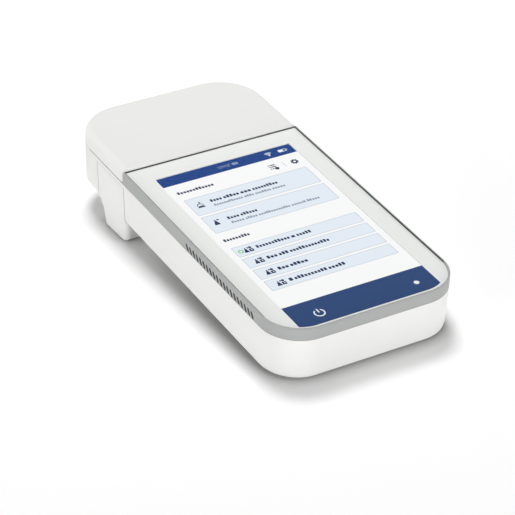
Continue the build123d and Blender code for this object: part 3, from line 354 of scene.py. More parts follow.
def lit_pixels(name, colour):
    """Pixels of a backlit panel: most of their light is their own, so their colour holds in any room."""
    finish, tree, place = new_finish(name)
    glow = 0.72    # share of the light that is the panel's own
    # The real pixel pitch of 0.12 mm is too fine to show, so the lines are drawn every 0.24 mm.
    lines = add_node(
        tree, "ShaderNodeTexWave", {"Vector": place, "Scale": 1 / (0.24 * MM) / 20, "Distortion": 0.0},
        bands_direction="X",
    )
    tone = mixed(tree, lines.outputs["Fac"], [c * 0.97 for c in colour], colour)
    return surface(finish, tree, {
        "Base Color": opaque([c * (1 - glow) for c in colour]), "Roughness": 0.5,
        "Specular IOR Level": 0.0,
        "Emission Color": tone, "Emission Strength": glow,
    })


def bare_metal(name, colour, roughness=0.3, line=0.12 * MM, stretch=(1, 12, 1), soften=0.2 * MM):
    """Metal as rolled, turned or milled: fine tool lines that draw the shine out along one direction."""
    finish, tree, place = new_finish(name)
    spread = add_node(
        tree, "ShaderNodeVectorMath",
        {0: place, 1: tuple(1 / (line * s) for s in stretch)}, operation="MULTIPLY",
    )
    lines = add_node(tree, "ShaderNodeTexNoise", {"Vector": spread.outputs[0], "Scale": 1.0, "Detail": 4.0})
    rough = add_node(
        tree, "ShaderNodeMapRange",
        {"Value": lines.outputs["Fac"], "To Min": roughness - 0.08, "To Max": roughness + 0.10},
    )
    bevel = add_node(tree, "ShaderNodeBevel", {"Radius": soften}, samples=4)
    bump = add_node(
        tree, "ShaderNodeBump",
        {
            "Height": lines.outputs["Fac"], "Distance": 0.004 * MM, "Strength": 1.0,
            "Normal": bevel.outputs["Normal"],
        },
    )
    return surface(finish, tree, {
        "Base Color": varied(tree, place, colour, 8 * MM, 0.05), "Metallic": 1.0,
        "Roughness": rough.outputs["Result"], "Normal": bump.outputs["Normal"],
    })


def soft_elastomer(name, colour, grain=0.5 * MM, depth=0.03 * MM, roughness=0.75):
    """Moulded rubber or silicone: dull, slightly dusty, with a blasted grain."""
    finish, tree, place = new_finish(name)
    return surface(finish, tree, {
        "Base Color": varied(tree, place, colour, 5 * MM, 0.08), "Roughness": roughness, "IOR": 1.45,
        "Sheen Weight": 0.12, "Sheen Roughness": 0.5,
        "Normal": grain_relief(tree, place, grain, depth, 0.3 * MM),
    })


def closed_cell_foam(name, colour):
    """Closed-cell foam, die cut: small open pores at its cut faces and no shine."""
    finish, tree, place = new_finish(name)
    cells = add_node(tree, "ShaderNodeTexVoronoi", {"Vector": place, "Scale": 1 / (0.5 * MM)})
    pores = add_node(
        tree, "ShaderNodeMapRange",
        {"Value": cells.outputs["Distance"], "From Max": 0.6, "To Min": 0.6, "To Max": 1.25},
    )
    tone = add_node(
        tree, "ShaderNodeVectorMath", {0: tuple(colour[:3]), "Scale": pores.outputs["Result"]},
        operation="SCALE",
    )
    bump = add_node(
        tree, "ShaderNodeBump", {"Height": cells.outputs["Distance"], "Distance": 0.15 * MM, "Strength": 0.8}
    )
    return surface(
        finish, tree,
        {"Base Color": tone.outputs[0], "Roughness": 0.95, "IOR": 1.4, "Normal": bump.outputs["Normal"]},
    )


def solder_mask(name, colour, copper):
    """Glass-epoxy board under green solder mask: copper tracks show through as lighter lines."""
    finish, tree, place = new_finish(name)
    turned = add_node(
        tree, "ShaderNodeMapping", {"Vector": place, "Rotation": (0, 0, math.radians(45))}
    )
    tracks = add_node(
        tree, "ShaderNodeTexBrick",
        {
            "Vector": turned.outputs["Vector"], "Scale": 1 / (5 * MM), "Mortar Size": 0.06,
            "Mortar Smooth": 0.2, "Color1": (0, 0, 0, 1), "Color2": (0, 0, 0, 1), "Mortar": (1, 1, 1, 1),
        },
    )
    tone = mixed(tree, tracks.outputs["Color"], colour, copper)
    bump = add_node(
        tree, "ShaderNodeBump", {"Height": tracks.outputs["Color"], "Distance": 0.03 * MM, "Strength": 1.0}
    )
    return surface(finish, tree, {
        "Base Color": tone, "Roughness": 0.28, "IOR": 1.55,
        "Coat Weight": 0.4, "Coat Roughness": 0.15, "Normal": bump.outputs["Normal"],
    })


def glossy_film(name, colour):
    """Plastic film, drawn tight: glossy, with long shallow waves."""
    finish, tree, place = new_finish(name)
    return surface(finish, tree, {
        "Base Color": varied(tree, place, colour, 10 * MM, 0.05), "Roughness": 0.22, "IOR": 1.5,
        "Coat Weight": 0.3, "Coat Roughness": 0.1,
        "Normal": grain_relief(tree, place, 9 * MM, 0.12 * MM, 0.3 * MM),
    })


def optical_glass(name, clear, index=1.15):
    """Polished optical glass, coated: clear, with a tinted glint.

    The coat steps the index down, so the face gives back far less light than bare glass would.
    """
    finish, tree, place = new_finish(name)
    return surface(finish, tree, {
        "Base Color": opaque(clear), "Roughness": 0.02, "IOR": index, "Transmission Weight": 1.0,
        "Normal": grain_relief(tree, place, 3 * MM, 0.001 * MM),
    })


# ---------------------------------------------------------------- making pieces


def finish_nodes(finish, *names):
    """Gives CAD nodes a finish, in their own material slots."""
    for name in names:
        slots = frame["nodes"][name].material_slots
        if not slots:
            raise RuntimeError(f"{name} has no material slot")
        for slot in slots:
            slot.material = finish


def put(name, mesh, finish, body="case"):
    """Makes a piece of a mesh drawn in the row's frame, and lets it ride on a body."""
    piece = bpy.data.objects.new(name, mesh)
    bpy.context.scene.collection.objects.link(piece)
    mesh.materials.clear()
    mesh.materials.append(finish)
    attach(piece, body)
    return piece


FLAT = Matrix.Identity(4)
ON_SIDE = Matrix(((0, 0, 1, 0), (1, 0, 0, 0), (0, 1, 0, 0), (0, 0, 0, 1)))


def cut_sheet(name, loops, low, high, finish, body="case", plane=FLAT):
    """A flat piece on a plane of the slab's frame, cut to closed loops of points; inner loops are holes."""
    outline = bpy.data.curves.new(name, "CURVE")
    outline.dimensions = "2D"
    outline.fill_mode = "BOTH"
    outline.extrude = (high - low) / 2
    for loop in loops:
        spline = outline.splines.new("POLY")
        spline.points.add(len(loop) - 1)
        for point, (x, y) in zip(spline.points, loop):
            point.co = (x, y, 0, 1)
        spline.use_cyclic_u = True
    drawn = bpy.data.objects.new(name, outline)
    mesh = bpy.data.meshes.new_from_object(drawn)
    bpy.data.objects.remove(drawn)
    if not mesh.polygons:
        raise RuntimeError(f"{name} came out empty")
    mesh.transform(SLAB @ plane @ Matrix.Translation((0, 0, (low + high) / 2)))
    mesh.name = name
    return put(name, mesh, finish, body)


def arc(x, y, radius, start, end, steps):
    """Points on an arc, with its angles in degrees."""
    turns = [math.radians(start + (end - start) * i / steps) for i in range(steps + 1)]
    return [(x + radius * math.cos(t), y + radius * math.sin(t)) for t in turns]


def circle(x, y, radius, steps=32):
    """A closed loop round a circle."""
    return arc(x, y, radius, 0, 360, steps)[:-1]


def bar(x0, x1, y0, y1, radius=0.0, far_only=False, steps=6):
    """A closed loop round a bar with round corners, at all four or at the far two."""
    near = 0.0 if far_only else radius
    loop = []
    corners = ((x1, y0, -90, near), (x1, y1, 0, radius), (x0, y1, 90, radius), (x0, y0, 180, near))
    for x, y, turn, r in corners:
        inward_x = -1 if x == x1 else 1
        inward_y = -1 if y == y1 else 1
        if r:
            loop += arc(x + inward_x * r, y + inward_y * r, r, turn, turn + 90, steps)
        else:
            loop.append((x, y))
    return loop


def band_arc(x, y, outer, inner, start, end, steps=24):
    """A closed loop round a stroke that follows an arc."""
    return arc(x, y, outer, start, end, steps) + arc(x, y, inner, end, start, steps)


def words(x, y, height, lengths, gap):
    """Small blocks in a line, some of them taller, which stand where a line of words would be."""
    loops = []
    width, between = 0.72 * height, 0.24 * height
    for word, length in enumerate(lengths):
        count = max(1, round(length / (width + between)))
        pitch = (length + between) / count
        for letter in range(count):
            left = x + letter * pitch
            tall = height * (1.35 if (letter * 3 + word) % 7 in (0, 4) else 1.0)
            loops.append(bar(left, left + pitch - between, y - height / 2, y - height / 2 + tall,
                             height * 0.2, steps=2))
        x += length + gap
    return loops


def turn(work, x, y, profile):
    """Turns a profile of (radius, height, wave) about an upright axis; a wave makes that ring lobed."""
    rings = []
    for radius, z, wave in profile:
        ring = []
        for i in range(TURN_STEPS):
            angle = math.tau * i / TURN_STEPS
            r = radius * (1 + wave * math.cos(SOCKET_LOBES * angle))
            ring.append(work.verts.new((x + r * math.cos(angle), y + r * math.sin(angle), z)))
        rings.append(ring)
    for lower, upper in zip(rings, rings[1:]):
        for i in range(TURN_STEPS):
            j = (i + 1) % TURN_STEPS
            work.faces.new((lower[i], lower[j], upper[j], upper[i]))
    if profile[0] != profile[-1] and abs(profile[0][1] - profile[-1][1]) > 1e-7:
        work.faces.new(rings[0][::-1])
        work.faces.new(rings[-1])


def put_turned(name, node, profile_of, finish, body):
    """One turned piece for each solid of a node, as one mesh that replaces the node."""
    work = bmesh.new()
    for low, high in solids_of(node):
        turn(work, (low.x + high.x) / 2, (low.y + high.y) / 2, profile_of(low, high))
    bmesh.ops.recalc_face_normals(work, faces=work.faces[:])
    work.transform(SLAB)
    mesh = bpy.data.meshes.new(name)
    work.to_mesh(mesh)
    work.free()
    mesh.shade_smooth()
    mesh.set_sharp_from_angle(angle=math.radians(35))
    piece = put(name, mesh, finish, body)
    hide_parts(node)


def on_page(name, loops, layer, finish):
    """A flat mark in one of the layers of the lit page."""
    panel = node_box("lcd_panel")[1].z
    low, high = PAGE_LAYERS[layer]
    cut_sheet(name, loops, panel + low * MM, panel + high * MM, finish)


def screw_profile(face_up):
    """Profile of a pan-head screw with a six-lobed socket, its head at the upper or the lower end."""

    def profile(low, high):
        head = (high.x - low.x) / 2 * 0.98
        length = high.z - low.z
        thick, shank, socket = head * 0.66, head * 0.5, head * 0.44
        marks = [
            (socket * 0.1, thick * 0.7, 0.0), (socket, thick * 0.7, 0.12), (socket, thick * 0.06, 0.12),
            (socket * 1.16, 0.0, 0.04), (head * 0.74, 0.0, 0.0), (head * 0.92, thick * 0.14, 0.0),
            (head, thick * 0.4, 0.0), (head, thick, 0.0), (shank, thick, 0.0),
        ]
        pitch = head * 0.28
        count = int((length - thick - pitch) / pitch)
        for i in range(count):
            marks.append((shank, thick + pitch * (i + 0.5), 0.0))
            marks.append((shank * 0.8, thick + pitch * (i + 1.0), 0.0))
        marks.append((shank * 0.5, length, 0.0))
        return [(r, high.z - u if face_up else low.z + u, wave) for r, u, wave in marks]

    return profile


def plunger_profile(low, high):
    """Profile of a sprung contact: a collar, a slim barrel and a round tip."""
    barrel = 0.42 * MM
    marks = [(0.6 * MM, low.z, 0.0), (0.66 * MM, low.z + 0.1 * MM, 0.0), (0.66 * MM, low.z + 1.9 * MM, 0.0),
             (barrel, low.z + 2.0 * MM, 0.0)]
    for angle in (0, 25, 50, 70, 84):
        tilt = math.radians(angle)
        marks.append((barrel * math.cos(tilt), high.z - barrel + barrel * math.sin(tilt), 0.0))
    return marks


def ring_profile(low, high):
    """Profile of a moulded ring with a round section, as one closed turn from bore to bore."""
    middle, reach, half = 2.44 * MM, 0.37 * MM, (high.z - low.z) / 2
    z = (high.z + low.z) / 2
    return [
        (middle + reach * math.cos(math.radians(t)), z + half * math.sin(math.radians(t)), 0.0)
        for t in range(-180, 181, 30)
    ]


def glass_loop(inset, steps=24):
    """The glass's outline, moved inwards: two round corners at the front and a straight rear edge."""
    high = node_box("cover_glass")[1]
    half, rear = high.x - inset, high.y - inset
    corner, radius = GLASS_CORNER, GLASS_CORNER - inset
    loop = arc(-high.x + corner, corner, radius, 180, 270, steps)
    loop += arc(high.x - corner, corner, radius, 270, 360, steps)
    return loop + [(half, rear), (-half, rear)]


# ---------------------------------------------------------------- operators


class CYTOMETER_OT_stage(Operator):
    """Sets the camera, the pale floor, the sky and the three lamps"""

    bl_idname = "cytometer.stage"
    bl_label = "Stage"

    def execute(self, context):
        studio = context.scene.cytometer_studio
        self.camera(context)
        self.sky(context, studio)
        self.floor(studio)
        # The key throws the shadow to the front left; the fills light the upright faces there.
        self.lamp("key_lamp", studio.key, 0.8, (0.24, 0.78, 1.86))
        self.lamp("front_fill_lamp", studio.fill, 1.0, (0.75, -2.05, 0.28))
        self.lamp("left_fill_lamp", studio.side_fill, 1.0, (-2.08, -0.45, 0.28))
        return {"FINISHED"}

    def camera(self, context):
        """Looks down on the slab from its front left, through a long lens."""
        turn, dip, roll = (math.radians(angle) for angle in (CAMERA_TURN, CAMERA_DIP, CAMERA_ROLL))
        ahead = Vector((math.sin(turn) * math.cos(dip), math.cos(turn) * math.cos(dip), -math.sin(dip)))
        right = Vector((math.cos(turn), -math.sin(turn), 0))
        up = right.cross(ahead)
        across = math.cos(roll) * right + math.sin(roll) * up
        over = -math.sin(roll) * right + math.cos(roll) * up
        pose = Matrix((across, over, -ahead)).transposed().to_4x4()
        pose.translation = Vector(CAMERA_AIM) - ahead * CAMERA_DISTANCE * MM
        lens = bpy.data.cameras.new("studio_camera")
        lens.sensor_width = 36
        lens.lens = CAMERA_LENS
        lens.clip_start = 0.01
        camera = bpy.data.objects.new("studio_camera", lens)
        camera.matrix_world = SLAB @ pose
        context.scene.collection.objects.link(camera)
        context.scene.camera = camera

    def seen(self, tree):
        """1 for what the camera, a reflection or a pane of glass shows, and 0 for light itself."""
        rays = add_node(tree, "ShaderNodeLightPath")
        both = worked(tree, "MAXIMUM", rays.outputs["Is Camera Ray"], rays.outputs["Is Glossy Ray"])
        return worked(tree, "MAXIMUM", both, rays.outputs["Is Transmission Ray"])

    def sky(self, context, studio):
        """Even white light; what is seen of it is plain white."""
        world = bpy.data.worlds.new("studio_sky")
        context.scene.world = world
        world.use_nodes = True
        tree = world.node_tree
        tree.nodes.clear()
        strength = add_node(
            tree, "ShaderNodeMix", {"Factor": self.seen(tree), "A": studio.sky, "B": 1.0}, data_type="FLOAT"
        )
        light = add_node(
            tree, "ShaderNodeBackground",
            {"Color": (1.0, 1.0, 1.0, 1.0), "Strength": strength.outputs["Result"]},
        )
        add_node(tree, "ShaderNodeOutputWorld", {"Surface": light.outputs["Background"]})

    def floor(self, studio):
        """A wide pale floor, lifted to white where it is seen, that keeps the object's shadow."""
        finish, tree, place = new_finish("floor_matte_board")
        # Painted shade: the board darkens close to what stands on it, in its colour and its lift as seen, by
        # ambient occlusion, where less of the room reaches it.
        open_share = add_node(
            tree, "ShaderNodeAmbientOcclusion",
            {"Color": (1.0, 1.0, 1.0, 1.0), "Distance": FLOOR_SHADE_REACH}, samples=8,
        ).outputs["AO"]
        shade = add_node(
            tree, "ShaderNodeMapRange",
            {"Value": open_share, "From Min": 0.4, "From Max": 0.95, "To Min": 0.42, "To Max": 1.0},
        ).outputs["Result"]
        # Only the eye sees that shade: the light that the board throws back up stays even.
        seen = self.seen(tree)
        seen_shade = worked(tree, "MAXIMUM", shade, worked(tree, "SUBTRACT", 1.0, seen))
        tone = add_node(
            tree, "ShaderNodeVectorMath",
            {0: varied(tree, place, linear("#F9F9F9"), 80 * MM, 0.004), "Scale": seen_shade},
            operation="SCALE",
        )
        board = add_node(
            tree, "ShaderNodeBsdfPrincipled",
            {"Base Color": tone.outputs[0], "Roughness": 0.9, "Specular IOR Level": 0.0},
        )
        # The lamps fade with distance, so the far floor is lifted more, up to the white of the sky.
        away = add_node(tree, "ShaderNodeVectorMath", {0: place}, operation="LENGTH")
        fade = add_node(
            tree, "ShaderNodeMapRange",
            {
                "Value": away.outputs["Value"], "From Min": 0.4, "From Max": 1.6,
                "To Min": studio.floor_lift, "To Max": 1.0,
            },
        )
        lift = worked(tree, "MULTIPLY", seen, worked(tree, "MULTIPLY", shade, fade.outputs["Result"]))
        glow = add_node(tree, "ShaderNodeEmission", {"Color": (1.0, 1.0, 1.0, 1.0), "Strength": lift})
        both = add_node(tree, "ShaderNodeAddShader", {0: board.outputs["BSDF"], 1: glow.outputs["Emission"]})
        close_finish(tree, both.outputs["Shader"])
        mesh = bpy.data.meshes.new("studio_floor")
        work = bmesh.new()
        bmesh.ops.create_grid(work, x_segments=4, y_segments=4, size=6.0)
        work.to_mesh(mesh)
        work.free()
        mesh.materials.append(finish)
        floor = bpy.data.objects.new("studio_floor", mesh)
        bpy.context.scene.collection.objects.link(floor)

    def lamp(self, name, power, size, place):
        """A large soft round lamp that faces the object."""
        light = bpy.data.lights.new(name, "AREA")
        light.shape = "DISK"
        light.size = size
        light.energy = power
        lamp = bpy.data.objects.new(name, light)
        lamp.location = place
        lamp.rotation_euler = (-lamp.location).to_track_quat("-Z", "Y").to_euler()
        bpy.context.scene.collection.objects.link(lamp)


class CYTOMETER_OT_housing(Operator):
    """Finishes the white mouldings: case, lid and stand"""

    bl_idname = "cytometer.housing"
    bl_label = "White mouldings"

    def execute(self, context):
        colours = context.scene.cytometer_colours
        finish_nodes(
            moulded_abs("abs_moulded_white", tuple(colours.housing)),
            "lower_housing", "lid_cover", "rear_stand",
        )
        return {"FINISHED"}


class CYTOMETER_OT_frame(Operator):
    """Paints the grey frame, fits the pads in its slots with rings of painted shade round their mouths, and
    draws the painted shade of the seams
    """

    bl_idname = "cytometer.frame"
    bl_label = "Grey frame"

    def execute(self, context):
        colours = context.scene.cytometer_colours
        finish_nodes(satin_paint("abs_painted_satin_grey", tuple(colours.frame)), "bezel_frame")
        self.slot_pads()
        self.seams()
        return {"FINISHED"}

    def slot_loops(self, radius):
        """A leaning round-ended loop for each slot, with the given half width."""
        lean = math.radians(SLOT_LEAN)
        up = Vector((math.sin(lean), math.cos(lean))) * PAD_HALF_STRAIGHT * MM
        turn = 90 - math.degrees(lean)
        loops = []
        for index in range(SLOT_COUNT):
            middle = Vector((
                SLOT_FIRST + index * SLOT_PITCH, -BAND_HEIGHT + SLOT_FOOT + SLOT_HALF_HEIGHT
            )) * MM
            top, foot = middle + up, middle - up
            loop = arc(top.x, top.y, radius, turn - 90, turn + 90, 8)
            loops.append(loop + arc(foot.x, foot.y, radius, turn + 90, turn + 270, 8))
        return loops

    def slot_pads(self):
        """A pad of black filter foam in each slot, and a thin black ring of painted shade round its mouth
        that widens the slot's dark.
        """
        face = node_box("bezel_frame")[0].x
        cut_sheet(
            "slot_filter_pads", self.slot_loops(0.70 * MM), face + 0.3 * MM, face + 1.9 * MM,
            closed_cell_foam("polyester_filter_foam_black", linear("#060707")), plane=ON_SIDE,
        )
        # Painted shade: a thin black ring laid on the band round each slot's mouth, so that the slot's dark
        # reads wider.
        cut_sheet(
            "slot_mouth_shade_rims", self.slot_loops(0.94 * MM) + self.slot_loops(0.72 * MM),
            face - 0.015 * MM, face + 0.02 * MM,
            soft_elastomer("painted_slot_shade_black", linear("#141516"), 0.3 * MM, 0.005 * MM, 0.6),
            plane=ON_SIDE,
        )

    def seams(self):
        """Painted shade of the seams: black strips in the narrow gaps beside the glass, ahead of the cover
        and under its sides, and thin grey lines at the band's and stand's seams.
        """
        # Painted shade: black strips laid in the gaps round the glass and the cover, standing for the shade
        # in those gaps.
        black = soft_elastomer("painted_gap_shade_black", linear("#1A1C1D"), 0.4 * MM, 0.01 * MM, 0.6)
        high = node_box("cover_glass")[1]
        half, rear = high.x, high.y
        glass_gap_shades = [bar(side * half - 0.15 * MM, side * half + 0.14 * MM, 21 * MM, rear) for side in (-1, 1)]
        cut_sheet("glass_side_gap_shade", glass_gap_shades, -0.6 * MM, 0.01 * MM, black)
        gap = 0.45 * MM
        cut_sheet(
            "cover_gap_shade", [bar(-half, half, rear + 0.02 * MM, rear + gap - 0.03 * MM)],
            -1.4 * MM, -0.35 * MM, black,
        )
        reach = node_box("lid_cover")[1].x + 0.02 * MM
        cover_gap_shades = [
            bar(side * reach - side * 1.2 * MM, side * reach, rear + 1.2 * MM, rear + 44 * MM)
            for side in (-1, 1)
        ]
        cut_sheet("cover_seam_gap_shade", cover_gap_shades, -7.84 * MM, -7.42 * MM, black)
        # Painted shade: thin grey lines laid on the surface where the band and the stand meet the case,
        # standing for the shade in those seams.
        grey = soft_elastomer("seam_shadow_grey", linear("#6F7172"), 0.4 * MM, 0.005 * MM, 0.8)
        under = [(x, min(y, rear)) for x, y in glass_loop(-1.38 * MM)]
        inside = [(x, min(y, rear)) for x, y in glass_loop(-0.9 * MM)]
        cut_sheet("band_seam_shadow_line", [under, inside], -7.95 * MM, -7.78 * MM, grey)
        # The stand's edges are upright while the slab leans, so the lines lean across the slab's side.
        top, foot = -3.0 * MM, -26.3 * MM
        slope = math.tan(math.radians(TILT)) * (top - foot)
        lines = []
        for y in STAND_SEAMS:
            lines.append([
                (y * MM, top), (y * MM - slope, foot), (y * MM - slope + 0.3 * MM, foot),
                (y * MM + 0.3 * MM, top),
            ])
        side_x = half + FRAME_RIM
        for side, name in ((-1, "left"), (1, "right")):
            leaning = Matrix.Translation((side * side_x, 0, -BAND_HEIGHT * MM)) @ Matrix.Rotation(
                math.radians(side * 1.3), 4, "Y"
            ) @ ON_SIDE
            cut_sheet(f"stand_seam_shadow_{name}", lines, -0.02 * MM, 0.02 * MM, grey, plane=leaning)


class CYTOMETER_OT_glass(Operator):
    """Clears the cover glass and prints the border, the dark band, the power symbol and the dot behind it"""

    bl_idname = "cytometer.glass"
    bl_label = "Cover glass and prints"

    def execute(self, context):
        sizes = context.scene.cytometer_sizes
        colours = context.scene.cytometer_colours
        finish_nodes(toughened_glass("glass_toughened_coated", (0.985, 0.99, 0.988)), "cover_glass")
        clear = 0.5 * MM
        window = bar(
            -sizes.page_half - clear, sizes.page_half + clear,
            sizes.page_front, sizes.page_rear + clear, 1.2 * MM,
        )
        # The dark band is printed first, with the symbols left clear for the white ink behind them.
        under = node_box("cover_glass")[0].z
        patch = bar(-38 * MM, 40 * MM, 5 * MM, 18 * MM, 1 * MM)
        for name, loops, layer, ink, colour in (
            ("print_dark_band", [self.band_loop(sizes)] + self.symbols(sizes), "band",
             "ink_printed_dark_blue", tuple(colours.band)),
            ("print_symbol_white", [patch], "symbol", "ink_printed_white", linear("#F4F7F8")),
            ("print_border", [glass_loop(0.25 * MM), window], "border",
             "ink_printed_pale_grey", tuple(colours.border)),
        ):
            low, high = PRINT_LAYERS[layer]
            finish = screen_print(ink, colour)
            cut_sheet(name, loops, under - low * MM, under - high * MM, finish)
        tape = cut_sheet(
            "glass_tape",
            [glass_loop(1.35 * MM), bar(-50.5 * MM, 50.5 * MM, 14.5 * MM, 179.5 * MM, 1.0 * MM)],
            node_box("glass_adhesive")[0].z, under - 0.04 * MM,
            soft_elastomer("acrylic_foam_tape_black", linear("#15171A")),
        )
        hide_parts("glass_adhesive")
        return {"FINISHED"}

    def band_loop(self, sizes):
        """The band follows the glass's front edge and ends square at both sides."""
        outline = [p for p in glass_loop(sizes.band_inset, 48) if abs(p[0]) < sizes.band_half]
        outline = [p for p in outline if p[1] < sizes.page_front]
        high = node_box("cover_glass")[1]
        reach = GLASS_CORNER - sizes.band_inset
        out = sizes.band_half - (high.x - GLASS_CORNER)
        edge = GLASS_CORNER - math.sqrt(reach * reach - out * out)
        ends = [(sizes.band_half, edge), (sizes.band_half, sizes.page_front)]
        ends += [(-sizes.band_half, sizes.page_front), (-sizes.band_half, edge)]
        return outline + ends

    def symbols(self, sizes):
        """The power symbol's broken ring and bar, and the round dot."""
        x, y = -30.0 * MM, 11.4 * MM
        outer = sizes.power_size / 2
        stroke = outer * 0.24
        ring = band_arc(x, y, outer, outer - stroke, 125, 415, 40)
        tick = bar(x - stroke / 2, x + stroke / 2, y + outer * 0.05, y + outer * 1.12, stroke * 0.4)
        return [ring, tick, circle(35.2 * MM, 11.3 * MM, sizes.lamp_size / 2)]


class CYTOMETER_OT_display(Operator):
    """Lights the page on the display, with its dark bar, heading and small symbols"""

    bl_idname = "cytometer.display"
    bl_label = "Display page"

    def execute(self, context):
        sizes = context.scene.cytometer_sizes
        colours = context.scene.cytometer_colours
        finish_nodes(glossy_film("polariser_film_dark", linear("#0C0D10")), "lcd_panel")
        ink = lit_pixels("pixels_lit_ink", tuple(colours.ink))
        edge = 0.45 * MM
        on_page(
            "page_white",
            [bar(-sizes.page_half - edge, sizes.page_half + edge, sizes.page_front - edge,
                 sizes.page_rear + edge, 1.4 * MM)],
            "white", lit_pixels("pixels_lit_white", tuple(colours.page)),
        )
        status_y = sizes.page_rear - sizes.status_height
        on_page(
            "page_status_bar",
            [bar(-sizes.page_half, sizes.page_half, status_y, sizes.page_rear, 1.3 * MM, far_only=True)],
            "box", lit_pixels("pixels_lit_blue", tuple(colours.status)),
        )
        self.status_marks(status_y + sizes.status_height / 2)
        self.header_marks(ink)
        return {"FINISHED"}

    def status_marks(self, y):
        """What stands for a clock, a radio fan and a battery."""
        pale = lit_pixels("pixels_lit_pale", linear("#E8F0FA"))
        soft = lit_pixels("pixels_lit_soft_blue", linear("#CFDCF3"))
        marks = []
        x = 29.3 * MM
        for radius in (1.2, 2.3, 3.4):
            marks.append(band_arc(x, y - 1.9 * MM, (radius + 0.35) * MM, (radius - 0.35) * MM, 48, 132, 12))
        marks.append(circle(x, y - 1.7 * MM, 0.6 * MM, 16))
        on_page("page_radio_mark", marks, "status", soft)
        battery = [
            bar(36.5 * MM, 42.0 * MM, y - 1.4 * MM, y + 1.4 * MM, 0.5 * MM),
            bar(39.9 * MM, 41.6 * MM, y - 1.0 * MM, y + 1.0 * MM, 0.2 * MM),
            bar(42.2 * MM, 42.7 * MM, y - 0.6 * MM, y + 0.6 * MM, 0.1 * MM),
        ]
        on_page("page_battery_mark", battery, "status", pale)
        clock = self.numerals("1242", -7.4 * MM, y)
        clock += [bar(side * MM, (side + 0.5) * MM, y - 1.4 * MM, y + 1.4 * MM) for side in (3.9, 5.1, 6.6)]
        on_page("page_clock", clock, "status", soft)

    def numerals(self, digits, x, y):
        """Stands for a clock: four numerals of short strokes, with two dots between the pairs.

        The strokes are so short that they read as rows of dots and not as numerals.
        """
        wide, tall, stroke = 1.3 * MM, 2.7 * MM, 0.62 * MM
        lit = {"1": "bc", "2": "abged", "4": "fgbc"}
        half = tall / 2
        loops = []
        for index, digit in enumerate(digits):
            left = x + index * 2.3 * MM + (0.9 * MM if index > 1 else 0)
            right = left + wide
            for name in lit[digit]:
                if name in "adg":
                    level = {"a": half, "g": 0.0, "d": -half}[name]
                    loops.append(bar(left + stroke * 0.7, right - stroke * 0.7,
                                     y + level - stroke / 2, y + level + stroke / 2, stroke * 0.4))
                else:
                    side = left if name in "ef" else right
                    low = y if name in "bf" else y - half
                    loops.append(bar(side - stroke / 2, side + stroke / 2,
                                     low + stroke * 0.7, low + half - stroke * 0.7, stroke * 0.4))
        middle = x + 2 * 2.3 * MM - 0.05 * MM
        return loops + [circle(middle, y + dy, 0.3 * MM, 12) for dy in (-0.7 * MM, 0.7 * MM)]

    def header_marks(self, ink):
        """Bars for the two headings, a list mark, a divider and a gear."""
        heading = words(-42.6 * MM, 154.2 * MM, 2.1 * MM, [24.6 * MM], 1.2 * MM)
        heading += words(-42.6 * MM, 97.7 * MM, 2.1 * MM, [17.2 * MM], 1.2 * MM)
        slate = lit_pixels("pixels_lit_slate", linear("#3A4560"))
        on_page("page_heading_bars", heading, "box", slate)
        marks = [
            bar(22.0 * MM, 22.9 * MM, y * MM, (y + 0.95) * MM, 0.1 * MM) for y in (152.6, 154.6, 156.5)
        ]
        marks += [bar(23.3 * MM, 26.8 * MM, y * MM, (y + 0.95) * MM, 0.1 * MM) for y in (154.6, 156.5)]
        marks.append(bar(23.3 * MM, 24.3 * MM, 152.6 * MM, 153.55 * MM, 0.1 * MM))
        marks.append(circle(26.1 * MM, 152.6 * MM, 1.5 * MM, 24))
        on_page("page_list_mark", marks, "box", slate)
        on_page(
            "page_divider", [bar(32.05 * MM, 32.35 * MM, 151.8 * MM, 157.6 * MM)], "box",
            lit_pixels("pixels_lit_grey", linear("#B9BEC9")),
        )
        on_page("page_gear_mark", self.gear(39.7 * MM, 154.5 * MM, 2.6 * MM), "box", ink)

    def gear(self, x, y, radius):
        """A ring with eight blunt teeth."""
        teeth = 8
        outer = []
        for tooth in range(teeth):
            middle = tooth * 360 / teeth
            outer += arc(x, y, radius, middle - 11, middle + 11, 3)
            outer += arc(x, y, radius * 0.8, middle + 15, middle + 30, 2)
        return [outer, circle(x, y, radius * 0.36, 24)]


